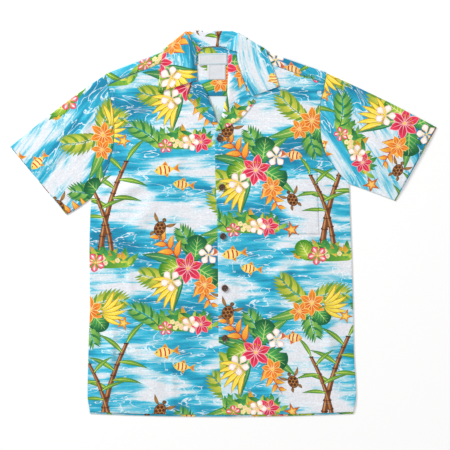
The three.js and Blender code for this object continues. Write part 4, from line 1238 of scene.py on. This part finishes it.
def collar_section(seam, roll, rim, lie, rise):
    share = (lie + 1) / 2
    stand = abs(seam - roll)

    def leaf_z(p):
        return mix(wall / 2, leaf_level(p.imag), share)

    seam_z = front_level(seam.imag) + wall / 2 if stand >= 2 * roll_radius else leaf_z(seam)
    before = roll + (seam - roll) * min(0.5, roll_radius / stand)
    after = roll + (rim - roll) * roll_radius / abs(rim - roll)
    before_z = mix(seam_z, leaf_level(roll.imag) + rise, ease(share))
    after_z = leaf_z(roll) + rise
    roll_z = mix((before_z + after_z) / 2, max(before_z, after_z) + 0.0003, ease(share))
    section = [(seam, seam_z), ((seam + before) / 2, mix(seam_z, before_z, 0.45)), (before, before_z)]
    for t in (0.25, 0.5, 0.75):
        a, b, c = (1 - t) ** 2, 2 * t * (1 - t), t * t
        section.append((a * before + b * (2 * roll - (before + after) / 2) + c * after,
                        a * before_z + b * (2 * roll_z - (before_z + after_z) / 2) + c * after_z))
    section.append((after, after_z))
    for s in (0.2, 0.45, 0.72, 1):
        p = after + (rim - after) * s
        section.append((p, leaf_z(p) + rise * (1 - ease(s / 0.45))))
    return [Vector(settled(p.real, p.imag, z)) for p, z in section]


def collar_grid():
    rows = [(*(complex(*p) / 1000 for p in row[:3]), row[3], row[4] / 1000) for row in collar_stations]
    crease_radius = (leaf_level(0.4) - wall / 2) / 2
    grid = []
    for i, (seam, roll, rim, lie, rise) in enumerate(rows):
        if lie:
            if i and rows[i - 1][3] == lie:
                halfway = [(a + b) / 2 for a, b in zip(rows[i - 1][:3], (seam, roll, rim))]
                grid.append(collar_section(*halfway, lie, (rows[i - 1][4] + rise) / 2))
            grid.append(collar_section(seam, roll, rim, lie, rise))
            continue
        along = (rim - roll) / abs(rim - roll)
        inward = 1j * along if along.real < 0 else -1j * along
        for degrees in (70, 35, 0, -35, -70) if rows[i - 1][3] > 0 else (-70, -35, 0, 35, 70):
            shift = inward * crease_radius * (1 - math.cos(math.radians(degrees)))
            grid.append(collar_section(seam, roll + shift, rim + shift, math.sin(math.radians(degrees)), 0.0))
    return grid


collar_rows = collar_grid()
roll_column = 4
collar_along = [0.0]
for before, after in zip(collar_rows, collar_rows[1:]):
    steps = [(after[k] - before[k]).length for k in (-1, roll_column)]
    collar_along.append(collar_along[-1] + sum(steps) / 2)
collar_across = []
for section in collar_rows:
    run = [0.0]
    for p, q in zip(section, section[1:]):
        run.append(run[-1] + (q - p).length)
    collar_across.append([v - run[roll_column] for v in run])


def collar_place(u, v):
    i = 0
    while i < len(collar_along) - 2 and u > collar_along[i + 1]:
        i += 1
    t = (u - collar_along[i]) / (collar_along[i + 1] - collar_along[i])
    run = [mix(a, b, t) for a, b in zip(collar_across[i], collar_across[i + 1])]
    j = 0
    while j < len(run) - 2 and v > run[j + 1]:
        j += 1
    s = (v - run[j]) / (run[j + 1] - run[j])
    columns = [min(max(k, 0), len(run) - 1) for k in (j - 1, j, j + 1, j + 2)]
    near = [collar_rows[i][k].lerp(collar_rows[i + 1][k], t) for k in columns]
    bend = 0.5 * ((near[2] - near[0]) * s + (2 * near[0] - 5 * near[1] + 4 * near[2] - near[3]) * s * s
                  + (3 * near[1] - near[0] - 3 * near[2] + near[3]) * s ** 3)
    return tuple(near[1] + bend)


collar_outline = cut_line(
    [complex(u, row[0]) for u, row in zip(collar_along, collar_across)]
    + [complex(collar_along[-1], v) for v in collar_across[-1][1:]]
    + [complex(u, row[-1]) for u, row in reversed(list(zip(collar_along, collar_across)))]
    + [complex(0, v) for v in reversed(collar_across[0][:-1])])
collar_extra = [complex(mix(0.001, collar_along[-1] - 0.001, (k + 0.5) / 110), v * 0.001)
                for v in (-4, -2.6, -1.3, 0, 1.3, 2.6, 4) for k in range(110)]
on_fronts = [section[-1].z > 0.004 for section in collar_rows]
leaf_ends = (on_fronts.index(False), len(on_fronts) - on_fronts[::-1].index(False))
rim_row = [complex(u, row[-1] - 0.005) for u, row in zip(collar_along, collar_across)]
first_end, last_end = collar_along[0] + 0.005, collar_along[-1] - 0.005
sewn_rows = [
    path_through(complex(first_end, 0.008), complex(first_end, rim_row[0].imag), *rim_row[1:leaf_ends[0]]),
    path_through(*rim_row[leaf_ends[1]:-1], complex(last_end, rim_row[-1].imag), complex(last_end, 0.008))]
collar_sheet = printed_sheet(collar_outline, collar_place, 0.03 + 0.16j, edge_drop=0.0002, extra=collar_extra,
                             rows=sewn_rows)
cloth_piece("collar", [collar_sheet], both_printed=True,
            thickness=collar_thickness)
sew("collar_stitches", sewn_rows, collar_place, collar_thickness / 2)


# Sleeves.
# Each sleeve is one piece, folded flat along its top and sewn below the arm, with a turned-up cuff. Its
# print is turned with the sleeve.
cuff_depth = 0.022


def bowed(start, bow, end):
    peak = 2 * bow - (start + end) / 2
    return [(1 - s) ** 2 * start + 2 * s * (1 - s) * peak + s * s * end for s in (k / 24 for k in range(25))]


def inside(p, ring):
    crossings = 0
    for a, b in zip(ring, ring[1:] + ring[:1]):
        if (a.imag > p.imag) != (b.imag > p.imag):
            crossings += p.real < a.real + (p.imag - a.imag) / (b.imag - a.imag) * (b.real - a.real)
    return crossings % 2 == 1


# Arguments: armhole, its top and bottom, bow of the top fold, cuff top and bottom, bow below, how far the
# lower layer shows at the cuff, and where and at what turn it is cut from the cloth.
def sew_sleeve(name, armhole_at, top, bottom, fold_bow, cuff_top, cuff_bottom, under_bow, shows, offset,
               turn):
    side = 1 if cuff_top.real > 0 else -1
    armhole = sized(upright(armhole_at, top, bottom), 1, side * seam_gap)
    below_arm = bowed(armhole[-1], under_bow, cuff_bottom)
    outline = cut_line(armhole + below_arm + bowed(cuff_top, fold_bow, armhole[0]))
    shoulder = complex(armhole_at(top), top)
    outward = (cuff_top - shoulder) / abs(cuff_top - shoulder)
    from_edges = away_from(bowed(complex(armhole_at(bottom), bottom), under_bow, cuff_bottom),
                           bowed(shoulder, fold_bow, cuff_top))
    cuff_line = cuff_top - cuff_bottom
    fold_z = layer - seam_gap / 2

    def from_cuff(p):
        return abs(((p - cuff_bottom) / cuff_line).imag) * abs(cuff_line)

    def flattened(edge, fold, z):
        return mix(fold, z, min(1.0, 1 - math.exp(-(edge / 0.0028) ** 1.2)))

    def upper(x, y):
        from_armhole = abs(x - armhole_at(min(max(y, bottom), top)))
        cuff = from_cuff(complex(x, y))
        edge = from_edges(x, y)
        near = 0.25 + 0.75 * ease(from_armhole / 0.05)
        at_cuff = 1 - 0.6 * ease(1 - cuff / 0.04)
        meets = (front_level(y) - layer) * (1 - ease(from_armhole / 0.09))
        turned_up = 0.0005 * (1 - ramp(cuff, cuff_depth - 0.0005, cuff_depth + 0.0015))
        puff = (0.0022 + crease_height(x, y)) * ease(edge / 0.045) * near * at_cuff
        z = layer + wall / 2 + meets + turned_up + puff
        free = from_armhole > 0.004 or edge > 0.004
        return settled(x, y, flattened(edge, fold_z + 0.0004, z) if free else z)

    def lower(x, y):
        p = complex(x, y)
        p += outward * shows * max(0.0, 1 - from_cuff(p) / 0.02)
        return settled(p.real, p.imag, flattened(from_edges(x, y), fold_z - 0.0004, wall / 2))

    inward = 1j * side * cuff_line / abs(cuff_line)
    rows = []
    for depth in (cuff_depth, cuff_depth + 0.002):
        line = [cuff_bottom + cuff_line * k / 50 + inward * depth for k in range(51)]
        rows.append([p for p in line if inside(p, outline) and from_edges(p.real, p.imag) > 0.003])
    sheets = [printed_sheet(outline, upper, offset, turn, 0.0003, extra=rows[1], rows=rows[:1]),
              printed_sheet(outline, lower, offset + 0.12 + 0.2j, turn, faces_up=False, rows=rows[:1])]
    cloth_piece(name, sheets,
                turned_in=lambda spot: from_cuff(complex(spot.x, spot.y) - middle) < cuff_depth)
    sew(name + "_stitches", rows[:1], upper, cloth_thickness / 2)
    sew(name + "_stitches_below", rows[:1], lower, -cloth_thickness / 2)


sew_sleeve("sleeve_right", right_armhole_at, 0.317, 0.053, -0.347 + 0.249j, -0.454 + 0.163j, -0.334 + 0.018j,
           -0.309 + 0.033j, 0.0014, 0.22 + 0.02j, -52)
sew_sleeve("sleeve_left", left_armhole_at, 0.320, 0.083, 0.342 + 0.264j, 0.455 + 0.205j, 0.367 + 0.048j,
           0.319 + 0.066j, 0.0024, 0.08 + 0.18j, 60)


# Buttons and buttonholes.
# Five coconut-shell buttons with a raised rim and four holes are sewn to the under front with brown thread;
# each comes through an upright buttonhole that is worked in pale thread on the front above.
def coconut_shell():
    material, tree, shader = new_material("coconut_shell", {"Coat Weight": 0.25, "Coat Roughness": 0.2})
    place = add_node(tree, "ShaderNodeTexCoord", {})["Object"]
    lie = {"Vector": place, "Scale": (1.0, 0.28, 1.0), "Rotation": (0.0, 0.0, 0.5)}
    fibre = noise(tree, add_node(tree, "ShaderNodeMapping", lie)["Vector"], 900.0, 5.0, 0.5)
    shades = colour_steps(tree, fibre, [(0.3, "23110d"), (0.5, "43261b"), (0.62, "6a4431"), (0.75, "94705a")])
    polish = add_node(tree, "ShaderNodeMapRange", {"Value": fibre, "To Min": 0.28, "To Max": 0.55})["Result"]
    feed(tree, shader, {"Base Color": shades, "Roughness": polish,
                        "Normal": bumped(tree, fibre, 0.3, 0.0001)})
    return material


# Radius and height of the rim's profile, in millimetres as the other sizes of the buttons are.
button_profile = ((3.2, 0.0), (6.0, 0.0), (6.7, 0.35), (7.0, 1.2), (6.85, 2.05), (6.45, 2.5), (5.9, 2.6),
                  (5.3, 2.35), (4.6, 1.92), (4.0, 1.78), (3.2, 1.75))
button_corners = 48
thread_hole = 0.9
hole_spread = 1.5
shell_material = coconut_shell()


def button_mesh(name, x, y, z):
    made = bmesh.new()
    top = button_profile[-1][1]

    def face(*corners):
        made.faces.new([made.verts.new((x + p.real / 1000, y + p.imag / 1000, z + height / 1000))
                        for p, height in corners])

    for (r0, z0), (r1, z1) in zip(button_profile, button_profile[1:]):
        for k in range(button_corners):
            a, b = turned(360 * k / button_corners), turned(360 * (k + 1) / button_corners)
            face((r0 * a, z0), (r0 * b, z0), (r1 * b, z1), (r1 * a, z1))
    rings = [disc(0j, button_profile[0][0], button_corners)]
    rings += [disc(complex(sx, sy) * hole_spread, thread_hole, 14) for sx in (-1, 1) for sy in (-1, 1)]
    starts = [sum(len(r) for r in rings[:i]) for i in range(len(rings))]
    loops = [list(range(start, start + len(ring))) for start, ring in zip(starts, rings)]
    flat, cells = triangles_in([p for ring in rings for p in ring], [], loops)
    for corners, ring in cells:
        if ring == 0:
            for height in (0.0, top):
                face(*((flat[v], height) for v in corners))
    for ring in rings[1:]:
        for p, q in zip(ring, ring[1:] + ring[:1]):
            face((p, 0.0), (q, 0.0), (q, top), (p, top))
    bmesh.ops.remove_doubles(made, verts=made.verts, dist=1e-6)
    bmesh.ops.recalc_face_normals(made, faces=made.faces)
    mesh = bpy.data.meshes.new(name)
    made.to_mesh(mesh)
    made.free()
    mesh.polygons.foreach_set("use_smooth", [True] * len(mesh.polygons))
    mesh.materials.append(shell_material)
    return mesh


# A point beside the button's middle, given in millimetres.
def beside(centre, across, up):
    return centre + complex(across, up) / 1000


for number in range(1, 6):
    node = "button_%d" % number
    low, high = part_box(node)
    x, y = (low[0] + high[0]) / 2, (low[1] + high[1]) / 2
    stand_for(linked(node + "_shell", button_mesh(node + "_shell", x, y, low[2])), node)
    centre = complex(x, y) - middle
    strands = [beside(centre, 0, sy * hole_spread + sx) for sy in (-1, 1) for sx in (-0.22, 0.22)]
    sew(node + "_thread", [[p, p + 0.0004] for p in strands], lambda x, y: settled(x, y, low[2]), 0.00195,
        0.01, 0.0036, 0.00026, thread=brown_thread)
    sides = [path_through(beside(centre, sx, -8.4), beside(centre, sx, 8.4)) for sx in (-0.95, 0.95)]
    bars = [path_through(beside(centre, -1.7, sy), beside(centre, 1.7, sy)) for sy in (-9.0, 9.0)]
    sew(node + "_hole_stitches", sides + bars, left_front_place, cloth_thickness / 2, 0.00048, 0.0017,
        0.00022, math.radians(90))
